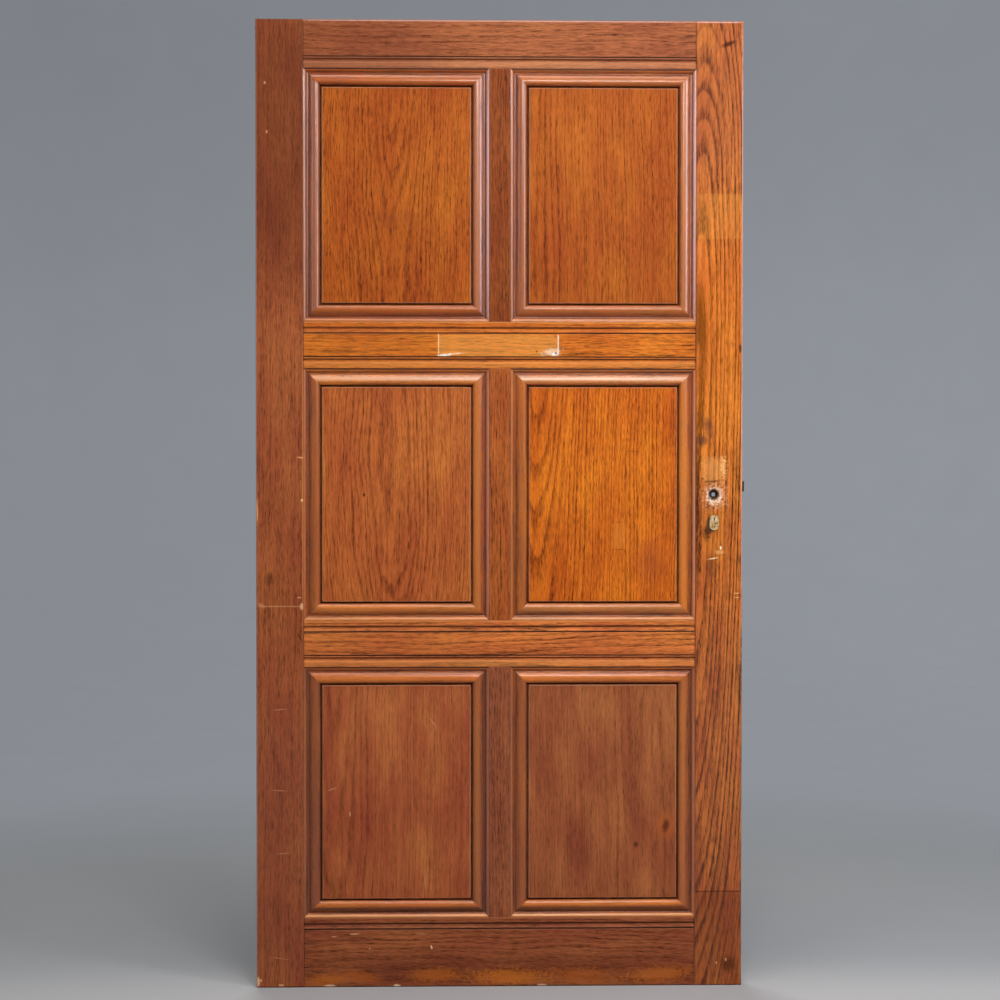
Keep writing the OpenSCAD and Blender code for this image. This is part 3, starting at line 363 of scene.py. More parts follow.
dress("top_rail", board(
    "top_rail_oak", "#a25e38", "#3f170a", pith=(0, 160, 2130), lean=(0.0, 0.5), grain=CROSSWISE, wander=4.0,
    marks=(*worked_edge(1948, 1, "#331208", "#d09066"),
           (-300, 2013, 170, 50, 0, 4, 0.8, 0.8, "#5f2812", 0.4),
           (-300, 1960, 170, 13, 0, 4, 0.6, 0.8, "#5f2812", 0.3),
           *shoulders(1999, 60, "#32170c", 0.8),
           # Painted highlight, partly wear: a pale line along the top edge.
           (0, 2047.6, 420, 1.4, 0, 8, 0.35, 0.9, "#c39a90", 0.7))))
dress("upper_cross_rail", board(
    "upper_cross_rail_oak", "#d27324", "#3d1d04", pith=(150, 60, 1290), lean=(0.0, 0.7), grain=CROSSWISE,
    marks=(*worked_edge(1315, 1, "#3a1608", "#e39a50"), *worked_edge(1414, -1, "#3a1608", "#dd954f"),
           (-290, 1364, 140, 60, 0, 4, 0.6, 0.6, "#8c4a20", 0.22),
           *shoulders(1364, 60, "#4a2310", 0.7),
           (-3.7, 1363.5, 128, 23, 0, 8, 0.03, 0.05, "#eeb058", 0.27),
           (-130, 1364, 1.2, 21, 0, 8, 0.4, 2.0, "#f2c896", 0.65),
           (-116, 1343.5, 13, 2.4, 3, 2, 0.6, 2.4, "#f3ecdc", 0.8),
           (-92, 1346.5, 13, 1.6, 5, 2, 0.6, 2.4, "#f0dcb8", 0.6),
           (108, 1350, 15, 6, 12, 2, 0.8, 3.0, "#efe0c4", 0.55),
           (117, 1346, 8, 4, 0, 2, 0.6, 1.6, "#f6f1e6", 0.75),
           (123.6, 1364, 1.2, 21, 0, 8, 0.4, 1.4, "#f1e2cc", 0.7),
           (118.7, 1347.6, 2.0, 2.4, 0, 2, 0.4, 0.3, "#2a1710", 0.9),
           (78, 1351, 1.8, 1.8, 0, 2, 0.4, 0.3, "#43240f", 0.85))))
dress("lower_cross_rail", board(
    "lower_cross_rail_oak", "#d5773b", "#3e1e0b", pith=(-80, 50, 690), lean=(0.0, -0.7), grain=CROSSWISE,
    ring_depth=0.4, marks=(
        *worked_edge(682, 1, "#331208", "#d9934e"), *worked_edge(781, -1, "#331208", "#d9934e"),
        (-260, 731, 180, 60, 0, 4, 0.6, 0.6, "#7c3f1e", 0.2),
        *shoulders(731, 60, "#43200f", 0.7))))
dress("bottom_rail", board(
    "bottom_rail_oak", "#9d5735", "#401a0a", pith=(60, 40, 24), lean=(0.0, 1.4), bow=90.0, grain=CROSSWISE, ring=7.0,
    wander=8.0, ring_depth=0.35, marks=(
        *worked_edge(148, -1, "#220b05", "#b06c40"),
        *shoulders(74, 90, "#32170c", 0.75),
        (0, 36, 420, 30, 0, 8, 0.7, 1.6, "#3c180c", 0.3),
        (-370, 15, 40, 11, 4, 2, 0.7, 2.6, "#c26a22", 0.5),
        (-296, 22, 36, 10, -7, 2, 0.7, 2.6, "#b65f20", 0.45),
        (-135, 25, 48, 13, 3, 2, 0.7, 2.6, "#c06820", 0.5),
        (18, 20, 72, 15, 0, 2, 0.6, 2.6, "#cc7220", 0.55),
        (178, 22, 66, 14, -3, 2, 0.8, 3.4, "#b45f20", 0.5),
        (341, 24, 58, 15, 5, 2, 0.7, 2.8, "#c46c22", 0.5),
        # Painted shadow: a dark line along the foot, where the leaf stands on the floor.
        (0, 0.6, 520, 1.5, 0, 8, 0.4, 0.8, "#1d0d07", 0.8),
        (-145, 84.5, 1.9, 4.2, 15, 2, 0.4, 0.4, "#ecba94", 0.9),
        (-276, 82, 1.5, 2.6, 0, 2, 0.4, 0.4, "#c88a66", 0.8),
        (-352, 108, 6, 1.3, -3, 2, 0.4, 0.8, "#c88a66", 0.75),
        (-308, 113.5, 10, 1.4, 2, 2, 0.4, 0.8, "#d8a078", 0.85),
        (-168, 113, 10, 3, 0, 2, 0.6, 1.2, "#b07850", 0.55),
        (-218, 3, 7, 2.6, 0, 2, 0.4, 0.8, "#e4c4a4", 0.85),
        (-361, 3.5, 13, 2.2, 0, 2, 0.4, 0.8, "#d9b090", 0.85),
        (90, 3, 10, 2.0, 0, 2, 0.4, 0.8, "#d9b090", 0.7))))


# Muntins
# Three short uprights stub-tenoned between the rails, one in each row, with the grain upright.
# Planed from narrow straight boards and stained with the rest.
dress("upper_muntin", board("upper_muntin_oak", "#8d461e", "#291003", pith=(-150, 60, 1700)))
dress("middle_muntin", board("middle_muntin_oak", "#ad5b29", "#341706", pith=(160, 50, 1050)))
dress("lower_muntin", board("lower_muntin_oak", "#985437", "#2c150a", pith=(-170, 40, 400)))


# Panels
# Six raised and fielded panels, loose in the grooves, each glued up from flat-sawn oak boards.
# Flat-sawn wood shows nested arches up the middle and straight lines at the sides.
# Panel arrises are painted pale, as wear and painted highlight in one.
PANEL_RUB_AND_GLINT = 0.8
dress("upper_left_panel", board(
    "upper_left_panel_oak", "#ad581a", "#531d05", pith=(-222, 45, 1600), lean=(3.0, 0.8), bow=120.0, wander=8.0,
    ring_depth=0.45, arris_rub_and_glint=PANEL_RUB_AND_GLINT, marks=(
        (-227, 1633, 50, 15, 0, 2, 0.9, 0.8, "#86401a", 0.35),)))
dress("upper_right_panel", board(
    "upper_right_panel_oak", "#ab571c", "#5c2405", pith=(60, 60, 1680), lean=(1.0, -0.6), bow=60.0,
    ring_depth=0.4, arris_rub_and_glint=PANEL_RUB_AND_GLINT))
dress("middle_left_panel", board(
    "middle_left_panel_oak", "#b96430", "#642d0f", pith=(-230, 42, 1060), lean=(1.0, 0.6), bow=330.0, wander=9.0,
    ring_depth=0.5, arris_rub_and_glint=PANEL_RUB_AND_GLINT, marks=(
        (-288, 1047, 3, 3.6, 0, 2, 0.5, 0.4, "#43200f", 0.85),)))
dress("middle_right_panel", board(
    "middle_right_panel_oak", "#d26e1c", "#6c2c08", pith=(82, 42, 1000), lean=(3.5, 0.4), bow=60.0, ring=7.0,
    ring_depth=0.6, arris_rub_and_glint=PANEL_RUB_AND_GLINT, marks=(
        (254, 960, 14, 32, 0, 2, 0.7, 0.4, "#e08a34", 0.35),
        (254, 931, 11, 1.8, 0, 2, 0.5, 0.6, "#8a4416", 0.65),
        (254, 989, 8, 1.6, 0, 2, 0.5, 0.6, "#8a4416", 0.5),
        (186, 1139, 5, 9, 0, 2, 0.7, 0.6, "#8a4014", 0.6),
        (271, 1164, 9, 4, 0, 2, 0.7, 0.6, "#94481a", 0.5),
        (283, 1140, 14, 1.8, -6, 2, 0.6, 0.6, "#94481a", 0.5),
        (322, 905, 30, 40, 0, 2, 0.9, 0.8, "#a04f24", 0.45))))
dress("lower_left_panel", board(
    "lower_left_panel_oak", "#ac5c37", "#5a2e11", pith=(-345, 60, 470), lean=(1.5, 0.5), bow=70.0,
    ring_depth=0.28, streak=0.8, dash=1.1, cloud=0.42, arris_rub_and_glint=PANEL_RUB_AND_GLINT, marks=(
        (-141.6, 563, 11, 1.0, -55, 2, 0.5, 0.8, "#c98e6a", 0.7),
        (-356, 421.5, 10, 1.0, 20, 2, 0.5, 0.8, "#c98e6a", 0.7),
        (-318, 368, 1.4, 5, 0, 2, 0.5, 0.8, "#d6a27c", 0.8),
        (-158.5, 226, 1.0, 21, 0, 2, 0.5, 0.8, "#c98e6a", 0.6))))
dress("lower_right_panel", board(
    "lower_right_panel_oak", "#a7603a", "#4f280e", pith=(300, 70, 420), lean=(0.8, -0.4), bow=50.0,
    ring_depth=0.22, streak=0.8, dash=1.1, cloud=0.42, arris_rub_and_glint=PANEL_RUB_AND_GLINT, marks=(
        (355, 341, 19, 26, 0, 2, 0.7, 0.6, "#b8612a", 0.55),
        (355, 341, 7, 14, -12, 2, 0.6, 0.9, "#3f1d12", 0.75),
        (291, 301, 4, 5.5, 0, 2, 0.6, 0.5, "#43200f", 0.75))))


# Panel mouldings
# Four planted strips round each opening on both faces, mitred at the corners and pinned to the frame:
# a round edge against the frame, a hollow, and a broad roll with a tight nose beside the panel.
SEAT = 0.0042
STRIP_W, STRIP_D = 0.036, 0.0158
ROLL_R, ROUND_R, HOLLOW_R = 0.010, 0.008, 0.003
ROLL_DROP, ROUND_DROP = 0.001, 0.0008
ROUND_TURN, SHARP_TURN = math.radians(65), math.radians(32)
ARC_STEPS = 14
OPENING_W, OPENING_H = 0.3935, 0.534
MITRE_GAP = 0.0002
crown = Vector((STRIP_W - ROLL_R, STRIP_D - ROLL_DROP))
edge = Vector((0, STRIP_D - ROUND_DROP - ROUND_R))
hollow = edge + (ROUND_R + HOLLOW_R) * Vector((math.sin(ROUND_TURN), math.cos(ROUND_TURN)))
reach = crown - hollow
flank_r = (reach.length_squared - HOLLOW_R ** 2) / (2 * (HOLLOW_R + reach.y))
flank_turn = math.asin(reach.x / (HOLLOW_R + flank_r))
outline = [Vector((0, 0)), edge + Vector((0, ROUND_R))]
for centre, arc_r, first, last, bulge in (
        (edge, ROUND_R, 0, ROUND_TURN, 1), (hollow, HOLLOW_R, -ROUND_TURN, flank_turn, -1),
        (crown - Vector((0, flank_r)), flank_r, -flank_turn, 0, 1),
        (crown - Vector((0, ROLL_R)), ROLL_R, 0, math.pi / 2, 1)):
    turns = [first + (last - first) * i / ARC_STEPS for i in range(1, ARC_STEPS + 1)]
    outline += [centre + arc_r * Vector((math.sin(a), bulge * math.cos(a))) for a in turns]
outline.append(Vector((STRIP_W, 0)))
outline.reverse()
section = bpy.data.meshes.new("moulding_section")
section.from_pydata([(p.x, p.y, 0) for p in outline],
                    [(i, (i + 1) % len(outline)) for i in range(len(outline))], [])

strips = bpy.data.node_groups.new("mitred_strips", "GeometryNodeTree")
given, result = sockets(strips, (
    ("Section", "Geometry", None), ("Opening width", "Float", 0.0), ("Opening height", "Float", 0.0),
    ("Mitre gap", "Float", 0.0), ("Turn", "Float", 0.0), ("Centre", "Vector", None),
    ("Upright oak", "Material", None), ("Crosswise oak", "Material", None)), (("Strips", "Geometry"),))
T = strips
right = add(T, "ShaderNodeMath", {0: given["Opening width"], 1: 0.5}, operation="MULTIPLY").outputs[0]
top = add(T, "ShaderNodeMath", {0: given["Opening height"], 1: 0.5}, operation="MULTIPLY").outputs[0]
left = add(T, "ShaderNodeMath", {0: right, 1: -1.0}, operation="MULTIPLY").outputs[0]
bottom = add(T, "ShaderNodeMath", {0: top, 1: -1.0}, operation="MULTIPLY").outputs[0]
section_curve = add(T, "GeometryNodeMeshToCurve", {"Mesh": given["Section"]})
pairs = []
for length, oak_kind, ends in (
        (given["Opening height"], given["Upright oak"], ((left, bottom, 0.0), (right, top, math.pi))),
        (given["Opening width"], given["Crosswise oak"], ((left, top, math.pi / 2), (right, bottom, -math.pi / 2)))):
    tip = add(T, "ShaderNodeCombineXYZ", {2: length})
    path = add(T, "GeometryNodeCurvePrimitiveLine", {"End": tip.outputs[0]})
    bar = add(T, "GeometryNodeCurveToMesh", {"Curve": path.outputs[0], "Profile Curve": section_curve.outputs[0],
                                              "Fill Caps": True})
    spot = add(T, "ShaderNodeSeparateXYZ", {0: add(T, "GeometryNodeInputPosition").outputs[0]})
    along = add(T, "ShaderNodeMath", {0: spot.outputs[2], 1: length}, operation="DIVIDE")
    half_gap = add(T, "ShaderNodeMath", {0: given["Mitre gap"], 1: 0.5, 2: spot.outputs[0]}, operation="MULTIPLY_ADD")
    clear = add(T, "ShaderNodeMath", {0: half_gap.outputs[0], 1: -2.0, 2: length}, operation="MULTIPLY_ADD")
    mitred = add(T, "ShaderNodeMath", {0: along.outputs[0], 1: clear.outputs[0], 2: half_gap.outputs[0]},
                 operation="MULTIPLY_ADD")
    moved = add(T, "ShaderNodeCombineXYZ", {0: spot.outputs[0], 1: spot.outputs[1], 2: mitred.outputs[0]})
    bar = add(T, "GeometryNodeSetPosition", {"Geometry": bar.outputs[0], "Position": moved.outputs[0]})
    pair = add(T, "GeometryNodeJoinGeometry")
    for x, z, turn in ends:
        corner = add(T, "ShaderNodeCombineXYZ", {0: x, 2: z})
        laid = add(T, "GeometryNodeTransform", {"Geometry": bar.outputs[0], "Translation": corner.outputs[0],
                                                "Rotation": (0.0, turn, 0.0)})
        T.links.new(laid.outputs[0], pair.inputs[0])
    whole = add(T, "GeometryNodeRealizeInstances", {"Geometry": pair.outputs[0]})
    pairs.append(add(T, "GeometryNodeSetMaterial", {"Geometry": whole.outputs[0], "Material": oak_kind}))
ring_of_four = add(T, "GeometryNodeJoinGeometry")
for pair in pairs:
    T.links.new(pair.outputs[0], ring_of_four.inputs[0])
facing = add(T, "ShaderNodeCombineXYZ", {2: given["Turn"]})
set_in = add(T, "GeometryNodeTransform", {"Geometry": ring_of_four.outputs[0], "Translation": given["Centre"],
                                          "Rotation": facing.outputs[0]})
T.links.new(set_in.outputs[0], result.inputs["Strips"])


def grown(name, section, tree, settings):
    """The plain mesh object that a Geometry Nodes tree makes from a section, with the tree's named inputs set."""
    holder = bpy.data.objects.new("holder", section)
    bpy.context.scene.collection.objects.link(holder)
    maker = holder.modifiers.new(tree.name, "NODES")
    maker.node_group = tree
    inputs = {item.name: item.identifier for item in tree.interface.items_tree if item.in_out == "INPUT"}
    for key, setting in settings.items():
        maker[inputs[key]] = setting
    shaped = bpy.data.meshes.new_from_object(holder.evaluated_get(bpy.context.evaluated_depsgraph_get()))
    bpy.data.objects.remove(holder)
    shaped.polygons.foreach_set("use_smooth", [True] * len(shaped.polygons))
    made = bpy.data.objects.new(name, shaped)
    bpy.context.scene.collection.objects.link(made)
    return made


# Painted light and shade on the strips, by place in the opening in mm, with a strength for each row of panels
# from the top down. Uprights by x, half width and tint: painted shade over the left strip, painted light on the
# right strip's crown and nose, and painted highlights along both strips' edges beside the frame. Crosswise strips
# by z, half height, feather, ragged edge and tint: a painted shadow along the upper strip under the rail, painted
# light on the lower strip's up-turned round edge, painted shade on its down-turned flank, and a painted glint
# along the upper strip's roll in the middle row.
SIDE_LIGHT_AND_SHADE = (
    (18, 18, "#5f352a", (0.2, 0.25, 0.1)), (366, 7, "#e08a38", (0.12, 0.3, 0.2)),
    (1.0, 2.2, "#c8977c", (0.25, 0.12, 0.15)), (390.5, 3.0, "#d3aeae", (0.6, 0.22, 0.12)))
CROSS_LIGHT_AND_SHADE = (
    (532.6, 1.6, 0.4, 0.4, "#2c1108", (0.9, 0.9, 0.9)), (3.0, 3.0, 0.4, 0.8, "#e0a468", (0.15, 0.15, 0.45)),
    (16.0, 7.0, 0.5, 0.6, "#32160c", (0.2, 0.2, 0.65)), (512.5, 4.5, 0.5, 1.2, "#ecc4a4", (0.0, 0.4, 0.0)))
STRIP_LOOK = {"pith": (0, 130, 900), "ring": 5.0, "ring_depth": 0.15, "streak": 2.2, "roughness": 0.27,
              "relief": 0.18, "arris_rub_and_glint": 0.0}
# Each opening: name, left edge and foot in metres, the uprights' tone and crown tone, and the crosswise strips' tone
# and crown tone; the crown tones are wear and painted light in one.
OPENINGS = (
    ("upper_left", -0.416, 1.414, "#96522c", "#ad6945", "#a24f19", "#b46021"),
    ("upper_right", 0.0225, 1.414, "#a15320", "#b36933", "#a75522", "#b86c32"),
    ("middle_left", -0.416, 0.781, "#a9571c", "#be6821", "#bf6727", "#d88439"),
    ("middle_right", 0.0225, 0.781, "#b96118", "#cd741f", "#ba672f", "#d38c4a"),
    ("lower_left", -0.416, 0.148, "#8d4922", "#a15628", "#bb622a", "#dc7c31"),
    ("lower_right", 0.0225, 0.148, "#9f5424", "#b1602b", "#c2662a", "#e18232"))
for number, (opening, side, low, upright_tone, upright_crown, cross_tone, cross_crown) in enumerate(OPENINGS):
    row = number // 2
    side_marks = [(1000 * side + x, 1000 * low + 267, half, 262, 0, 8, 0.5, 0.8, tint, strength[row])
                  for x, half, tint, strength in SIDE_LIGHT_AND_SHADE]
    cross_marks = [(0, 1000 * low + z, 600, half, 0, 8, feather, ragged, tint, strength[row])
                   for z, half, feather, ragged, tint, strength in CROSS_LIGHT_AND_SHADE if strength[row]]
    upright = board(opening + "_upright_moulding_oak", upright_tone, "#3c1c0e", sheen=0.5, gloss=0.3,
                    crown_wear_and_light=upright_crown, marks=side_marks, **STRIP_LOOK)
    cross = board(opening + "_cross_moulding_oak", cross_tone, "#4a2412", grain=CROSSWISE, sheen=0.33, gloss=0.2,
                  crown_wear_and_light=cross_crown, marks=cross_marks, **STRIP_LOOK)
    for face, turn, seat in (("front", math.pi, -SEAT), ("back", 0.0, SEAT)):
        node = f"{opening}_{face}_moulding"
        piece = grown(node + "_strips", section, strips, {
            "Opening width": OPENING_W, "Opening height": OPENING_H, "Mitre gap": MITRE_GAP, "Turn": turn,
            "Centre": (side + OPENING_W / 2, seat, low + OPENING_H / 2), "Upright oak": upright,
            "Crosswise oak": cross})
        piece.data.set_sharp_from_angle(angle=SHARP_TURN)
        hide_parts(node)
        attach(piece, "leaf")


# Tenon wedges
# Small oak wedges driven beside the tenons from the outer edges of the stiles and planed flush.
# They show end grain there, a shade darker than the stile and dull, since the saw opened every pore.
dress("tenon_wedges", board("tenon_wedge_oak", "#b2662f", "#5a2b10", pith=(0, 90, 900), lean=(0.0, 80.0), ring=4.0,
                            wander=2.0))


# Lock case, cover and forend
# A mortise lock in a pressed steel case with a screwed cover, fixed by a rounded forend in the lock edge.
# Bright steel gone dull: brown rust has started in patches and the drawing marks still run along it.
def old_metal(name, clean, tarnish, scale_mm, amount, metallic, roughness):
    """Metal with patches of tarnish, scale_mm across, covering about the given amount of it."""
    made = bpy.data.materials.new(name)
    made.use_nodes = True
    tree = made.node_tree
    shader = tree.nodes["Principled BSDF"]
    here = add(tree, "ShaderNodeTexCoord").outputs["Object"]
    blots = add(tree, "ShaderNodeTexNoise", {"Vector": here, "Scale": 1000 / scale_mm, "Detail": 5.0,
                                               "Roughness": 0.65})
    spread = add(tree, "ShaderNodeMapRange", {"Value": blots.outputs[0], "From Min": 0.68 - amount * 0.4,
                                              "From Max": 0.8 - amount * 0.4}, interpolation_type="SMOOTHSTEP")
    drawn = add(tree, "ShaderNodeVectorMath", {0: here, 1: (2500.0, 2500.0, 120.0)}, operation="MULTIPLY")
    lines = add(tree, "ShaderNodeTexNoise", {"Vector": drawn.outputs[0], "Scale": 1.0, "Detail": 2.0})
    tone = add(tree, "ShaderNodeMapRange", {"Value": lines.outputs[0], "To Min": 0.8, "To Max": 1.2})
    plain = add(tree, "ShaderNodeHueSaturation", {"Value": tone.outputs[0], "Color": linear(clean)})
    paint = add(tree, "ShaderNodeMix", {0: spread.outputs[0], 6: plain.outputs[0], 7: linear(tarnish)},
                data_type="RGBA")
    tree.links.new(paint.outputs[2], shader.inputs["Base Color"])
    bare_and_lit = add(tree, "ShaderNodeMapRange", {"Value": spread.outputs[0], "To Min": metallic,
                                            "To Max": metallic * 0.35})
    tree.links.new(bare_and_lit.outputs[0], shader.inputs["Metallic"])
    dull = add(tree, "ShaderNodeMapRange", {"Value": spread.outputs[0], "To Min": roughness,
                                            "To Max": min(roughness + 0.3, 0.9)})
    tree.links.new(dull.outputs[0], shader.inputs["Roughness"])
    soft = add(tree, "ShaderNodeBevel", {"Radius": 0.0004}, samples=3)
    relief = add(tree, "ShaderNodeBump", {"Strength": 0.3, "Distance": 0.0002, "Height": blots.outputs[0],
                                          "Normal": soft.outputs[0]})
    tree.links.new(relief.outputs[0], shader.inputs["Normal"])
    return made


lock_steel = old_metal("dull_lock_steel", "#8b8a86", "#5b3d2a", 9.0, 0.45, 1.0, 0.42)
for node in ("lock_case", "lock_cover", "cover_screws", "forend", "forend_screws"):
    dress(node, lock_steel)


# Latch and follower
# The sprung latch bolt and the follower whose square hole draws it in: forged iron, oiled for years, brown
# with old rust and rubbed bare only where they slide. The spring behind the latch is wound from spring wire.
forged_iron = old_metal("brown_forged_iron", "#574a40", "#3a2417", 5.0, 0.6, 0.8, 0.45)
for node in ("latch_bolt", "follower"):
    dress(node, forged_iron)
spring_wire = old_metal("oiled_spring_wire", "#6d6c6a", "#3f2d20", 4.0, 0.35, 1.0, 0.3)
WIRE_R, WIRE_SIDES = 0.0005, 10
COIL_TURNS, COIL_STEPS = 5, 24
coil_low, coil_high = (Vector(corner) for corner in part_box("latch_spring"))
coil = bpy.data.node_groups.new("wire_coil", "GeometryNodeTree")
given, result = sockets(coil, (
    ("Wire", "Geometry", None), ("Turns", "Float", 0.0), ("Radius", "Float", 0.0), ("Length", "Float", 0.0),
    ("Start", "Vector", None), ("Steel", "Material", None)), (("Spring", "Geometry"),))
T = coil
helix = add(T, "GeometryNodeCurveSpiral", {
    "Resolution": COIL_STEPS, "Rotations": given["Turns"], "Start Radius": given["Radius"],
    "End Radius": given["Radius"], "Height": given["Length"]})
round_wire = add(T, "GeometryNodeMeshToCurve", {"Mesh": given["Wire"]})
wound = add(T, "GeometryNodeCurveToMesh", {"Curve": helix.outputs[0], "Profile Curve": round_wire.outputs[0],
                                           "Fill Caps": True})
laid = add(T, "GeometryNodeTransform", {"Geometry": wound.outputs[0], "Translation": given["Start"],
                                        "Rotation": (0.0, math.pi / 2, 0.0)})
whole = add(T, "GeometryNodeRealizeInstances", {"Geometry": laid.outputs[0]})
coated = add(T, "GeometryNodeSetMaterial", {"Geometry": whole.outputs[0], "Material": given["Steel"]})
T.links.new(coated.outputs[0], result.inputs["Spring"])
wire_section = bpy.data.meshes.new("wire_section")
sides = [math.tau * i / WIRE_SIDES for i in range(WIRE_SIDES)]
wire_section.from_pydata([(WIRE_R * math.cos(a), WIRE_R * math.sin(a), 0) for a in sides],
                         [(i, (i + 1) % WIRE_SIDES) for i in range(WIRE_SIDES)], [])
middle = (coil_low + coil_high) / 2
piece = grown("latch_spring_coil", wire_section, coil, {
    "Turns": COIL_TURNS, "Radius": (coil_high.y - coil_low.y) / 2 - WIRE_R,
    "Length": coil_high.x - coil_low.x - 2 * WIRE_R, "Start": (coil_low.x + WIRE_R, middle.y, middle.z),
    "Steel": spring_wire})
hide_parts("latch_spring")
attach(piece, "leaf")
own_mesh(piece)


# Dead bolt
# The flat bolt that the key throws, milled from iron bar and rubbed bright on its flanks.
# It lies drawn in behind the forend while the leaf stands open.
dress("dead_bolt", old_metal("rubbed_bolt_iron", "#6e6760", "#472f20", 6.0, 0.5, 0.9, 0.4))


# Key cylinder
# An oval key cylinder with a turning plug in each end, turned and milled from brass once nickelled: the
# nickel is worn through and yellow, with green-brown tarnish round its edges. One screw in the forend holds it.
worn_brass = old_metal("worn_nickelled_brass", "#d8b57c", "#7b5f2c", 5.0, 0.5, 0.45, 0.4)
dress("cylinder_body", worn_brass)
plug_brass = old_metal("rubbed_plug_brass", "#e6cda0", "#86683a", 4.0, 0.4, 0.45, 0.35)
for node in ("front_plug", "back_plug"):
    dress(node, plug_brass)
dress("cylinder_cam", old_metal("hardened_cam_steel", "#7d7b78", "#4a3627", 5.0, 0.35, 1.0, 0.38))
dress("cylinder_screw", old_metal("zinc_screw_steel", "#94948f", "#5d5347", 3.0, 0.3, 1.0, 0.35))


# Camera and studio light
# The camera stands five metres off at breast height. Soft boxes light the leaf from both sides, from in front
# and from high above, so that glints run along the mouldings and the rails are pale on top; one more lights
# the back. A small lamp behind the leaf shows through the spindle hole.
lens = bpy.data.cameras.new("camera")
lens.lens = 84.59
lens.sensor_width = 36.0
camera = bpy.data.objects.new("camera", lens)
CAMERA = (-0.1368, -5.0, 1.1485)
YAW, PITCH, ROLL = -1.578, -1.289, 0.029
camera.matrix_world = (Matrix.Translation(CAMERA) @ Matrix.Rotation(math.radians(YAW), 4, "Z")
                       @ Matrix.Rotation(math.radians(90 + PITCH), 4, "X")
                       @ Matrix.Rotation(math.radians(ROLL), 4, "Z"))
bpy.context.scene.collection.objects.link(camera)
bpy.context.scene.camera = camera

for name, spot, aim, size, power, tint in (
        ("left_soft_box", (-2.0, -1.9, 2.1), (0, 0, 1.1), (0.2, 1.1), 6, (0.92, 0.84, 1.0)),
        ("right_soft_box", (2.0, -1.9, 2.1), (0, 0, 1.1), (0.8, 1.1), 36, (0.97, 0.93, 1.0)),
        ("front_soft_box", (0.3, -2.4, 2.5), (0, 0, 1.3), (0.8, 0.5), 38, (1.0, 0.96, 0.94)),
        ("overhead_soft_box", (0.0, -2.0, 6.0), (0, 0, 1.0), (3.0, 2.4), 168, (1.0, 0.97, 0.91)),
        ("back_soft_box", (-0.6, 3.0, 4.4), (0, 0, 1.0), (2.0, 1.2), 110, (1.0, 0.98, 0.95)),
        ("spindle_lamp", (0.4596, 0.03, 1.0474), CAMERA, (0.016, 0.016), 0.001, (1.0, 1.0, 1.0))):
    lamp = bpy.data.lights.new(name, "AREA")
    lamp.shape = "RECTANGLE"
    lamp.size, lamp.size_y = size
    lamp.energy = power
    lamp.color = tint
    fixture = bpy.data.objects.new(name, lamp)
    fixture.location = spot
    fixture.rotation_euler = (Vector(aim) - Vector(spot)).to_track_quat("-Z", "Y").to_euler()
    bpy.context.scene.collection.objects.link(fixture)
world = bpy.data.worlds.new("studio")
world.use_nodes = True
world.node_tree.nodes["Background"].inputs["Color"].default_value = linear("#c8ccd2")
world.node_tree.nodes["Background"].inputs["Strength"].default_value = 0.16
bpy.context.scene.world = world


# Paper sweep
# The leaf stands on grey studio paper that runs out over the floor and bends up into a round wall, so that
# the leaf has the same ground from every side. Matt, with the faintest mottle of the pulp; near the leaf it is
# darker on the left and behind the leaf, which is painted shade. Far from the leaf the camera and polished metal
# see it as an even grey that darkens upwards and towards the left, again painted shade.
FLOOR_R, BEND_R, WALL_TOP = 8.0, 2.0, 9.0
SPOKES, BEND_STEPS = 64, 12
NEAR_R, FAR_R = 1.5, 3.2
profile = [(0.5, 0.0), (2.0, 0.0), (FLOOR_R, 0.0)]
bend_turns = [math.pi / (2 * BEND_STEPS) * i for i in range(1, BEND_STEPS + 1)]
profile += [(FLOOR_R + BEND_R * math.sin(a), BEND_R - BEND_R * math.cos(a)) for a in bend_turns]
profile.append((FLOOR_R + BEND_R, WALL_TOP))
spokes = [math.tau * i / SPOKES for i in range(SPOKES)]
sheet_points = [(0, 0, 0)] + [(r * math.cos(a), r * math.sin(a), z) for r, z in profile for a in spokes]
sheet_faces = [(0, 1 + i, 1 + (i + 1) % SPOKES) for i in range(SPOKES)]
for k in range(len(profile) - 1):
    inner, outer = 1 + k * SPOKES, 1 + (k + 1) * SPOKES
    sheet_faces += [(inner + i, outer + i, outer + (i + 1) % SPOKES, inner + (i + 1) % SPOKES)
                    for i in range(SPOKES)]
paper = bpy.data.meshes.new("paper_sweep")
paper.from_pydata(sheet_points, [], sheet_faces)
paper.polygons.foreach_set("use_smooth", [True] * len(paper.polygons))
sweep = bpy.data.objects.new("paper_sweep", paper)
bpy.context.scene.collection.objects.link(sweep)
grey_paper = bpy.data.materials.new("grey_paper")
grey_paper.use_nodes = True
T = grey_paper.node_tree
shader = T.nodes["Principled BSDF"]
here = add(T, "ShaderNodeTexCoord").outputs["Object"]
apart = add(T, "ShaderNodeSeparateXYZ", {0: here})
pulp = add(T, "ShaderNodeTexNoise", {"Vector": here, "Scale": 4.0, "Detail": 4.0})
pulp = add(T, "ShaderNodeMapRange", {"Value": pulp.outputs[0], "To Min": 0.97, "To Max": 1.03})
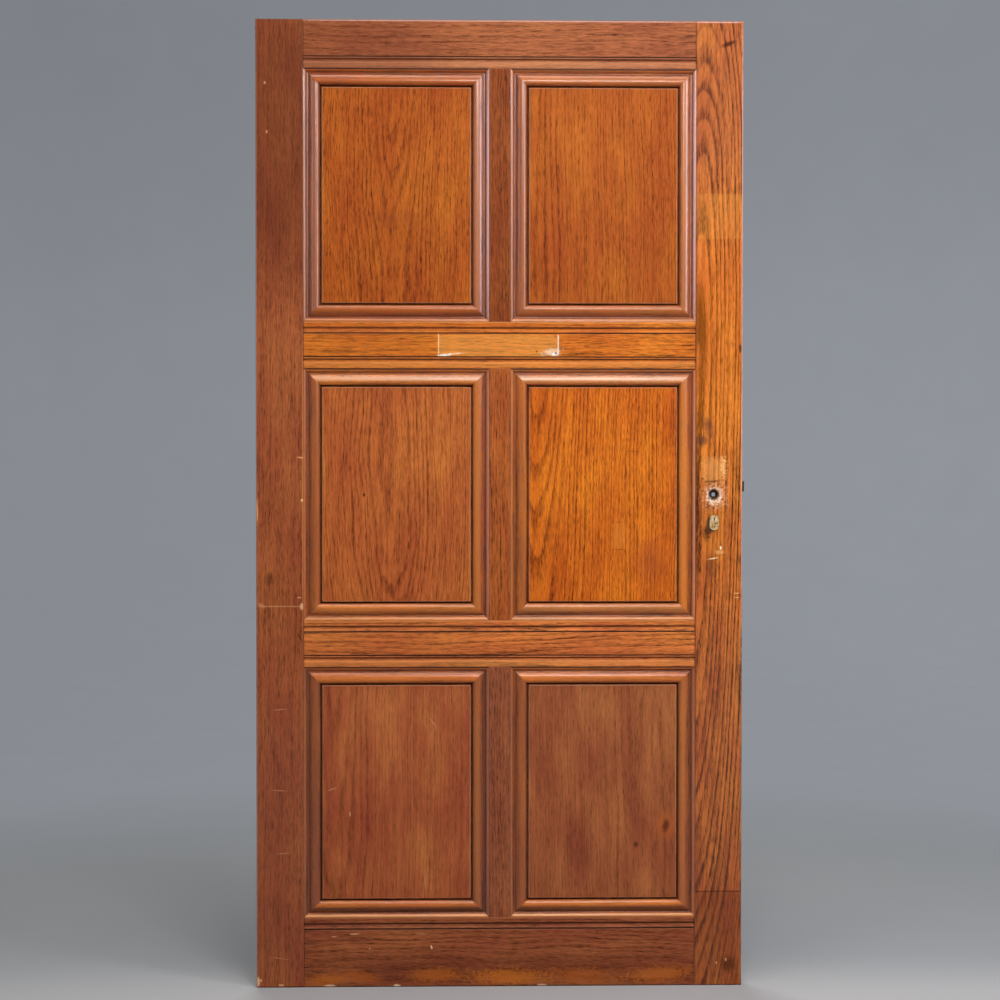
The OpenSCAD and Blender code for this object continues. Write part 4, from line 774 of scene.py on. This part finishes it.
# Painted shade: the near paper is darker behind the leaf and towards the left.
behind_leaf = add(T, "ShaderNodeMapRange", {"Value": apart.outputs[1], "From Min": -0.15, "From Max": 0.3},
                  interpolation_type="SMOOTHSTEP")
near = add(T, "ShaderNodeMix", {0: behind_leaf.outputs[0], 6: linear("#a4a5a7"), 7: linear("#8f9397")},
           data_type="RGBA")
near_level = add(T, "ShaderNodeMapRange", {"Value": apart.outputs[0], "From Min": -1.2, "From Max": 1.2,
                                           "To Min": 0.9, "To Max": 1.08})
near_level = add(T, "ShaderNodeMath", {0: pulp.outputs[0], 1: near_level.outputs[0]}, operation="MULTIPLY")
near = add(T, "ShaderNodeHueSaturation", {"Value": near_level.outputs[0], "Color": near.outputs[2]})
T.links.new(near.outputs[0], shader.inputs["Base Color"])
shader.inputs["Roughness"].default_value = 0.85
shader.inputs["Specular IOR Level"].default_value = 0.2
# Painted shade: the far paper darkens upwards and towards the left.
higher = add(T, "ShaderNodeMapRange", {"Value": apart.outputs[2], "From Min": 1.1, "From Max": 3.8},
             interpolation_type="SMOOTHSTEP")
far = add(T, "ShaderNodeMix", {0: higher.outputs[0], 6: linear("#8c9096"), 7: linear("#82868c")},
          data_type="RGBA")
sideways = add(T, "ShaderNodeMapRange", {"Value": apart.outputs[0], "From Min": -2.4, "From Max": 2.4,
                                         "To Min": 0.93, "To Max": 1.08})
level = add(T, "ShaderNodeMath", {0: pulp.outputs[0], 1: sideways.outputs[0]}, operation="MULTIPLY")
far = add(T, "ShaderNodeHueSaturation", {"Value": level.outputs[0], "Color": far.outputs[2]})
ground = add(T, "ShaderNodeEmission", {"Color": far.outputs[0]})
over_floor = add(T, "ShaderNodeCombineXYZ", {0: apart.outputs[0], 1: apart.outputs[1]})
away = add(T, "ShaderNodeVectorMath", {0: over_floor.outputs[0]}, operation="LENGTH")
away = add(T, "ShaderNodeMapRange", {"Value": away.outputs["Value"], "From Min": NEAR_R, "From Max": FAR_R},
           interpolation_type="SMOOTHSTEP")
rays = add(T, "ShaderNodeLightPath")
seen = add(T, "ShaderNodeMath", {0: rays.outputs["Is Camera Ray"], 1: rays.outputs["Is Glossy Ray"]},
           operation="MAXIMUM")
share = add(T, "ShaderNodeMath", {0: away.outputs[0], 1: seen.outputs[0]}, operation="MULTIPLY")
blended = add(T, "ShaderNodeMixShader", {0: share.outputs[0], 1: shader.outputs[0], 2: ground.outputs[0]})
T.links.new(blended.outputs[0], T.nodes["Material Output"].inputs["Surface"])
paper.materials.append(grey_paper)


# View transform
# The Standard view transform, without a tone curve.
bpy.context.scene.view_settings.view_transform = "Standard"
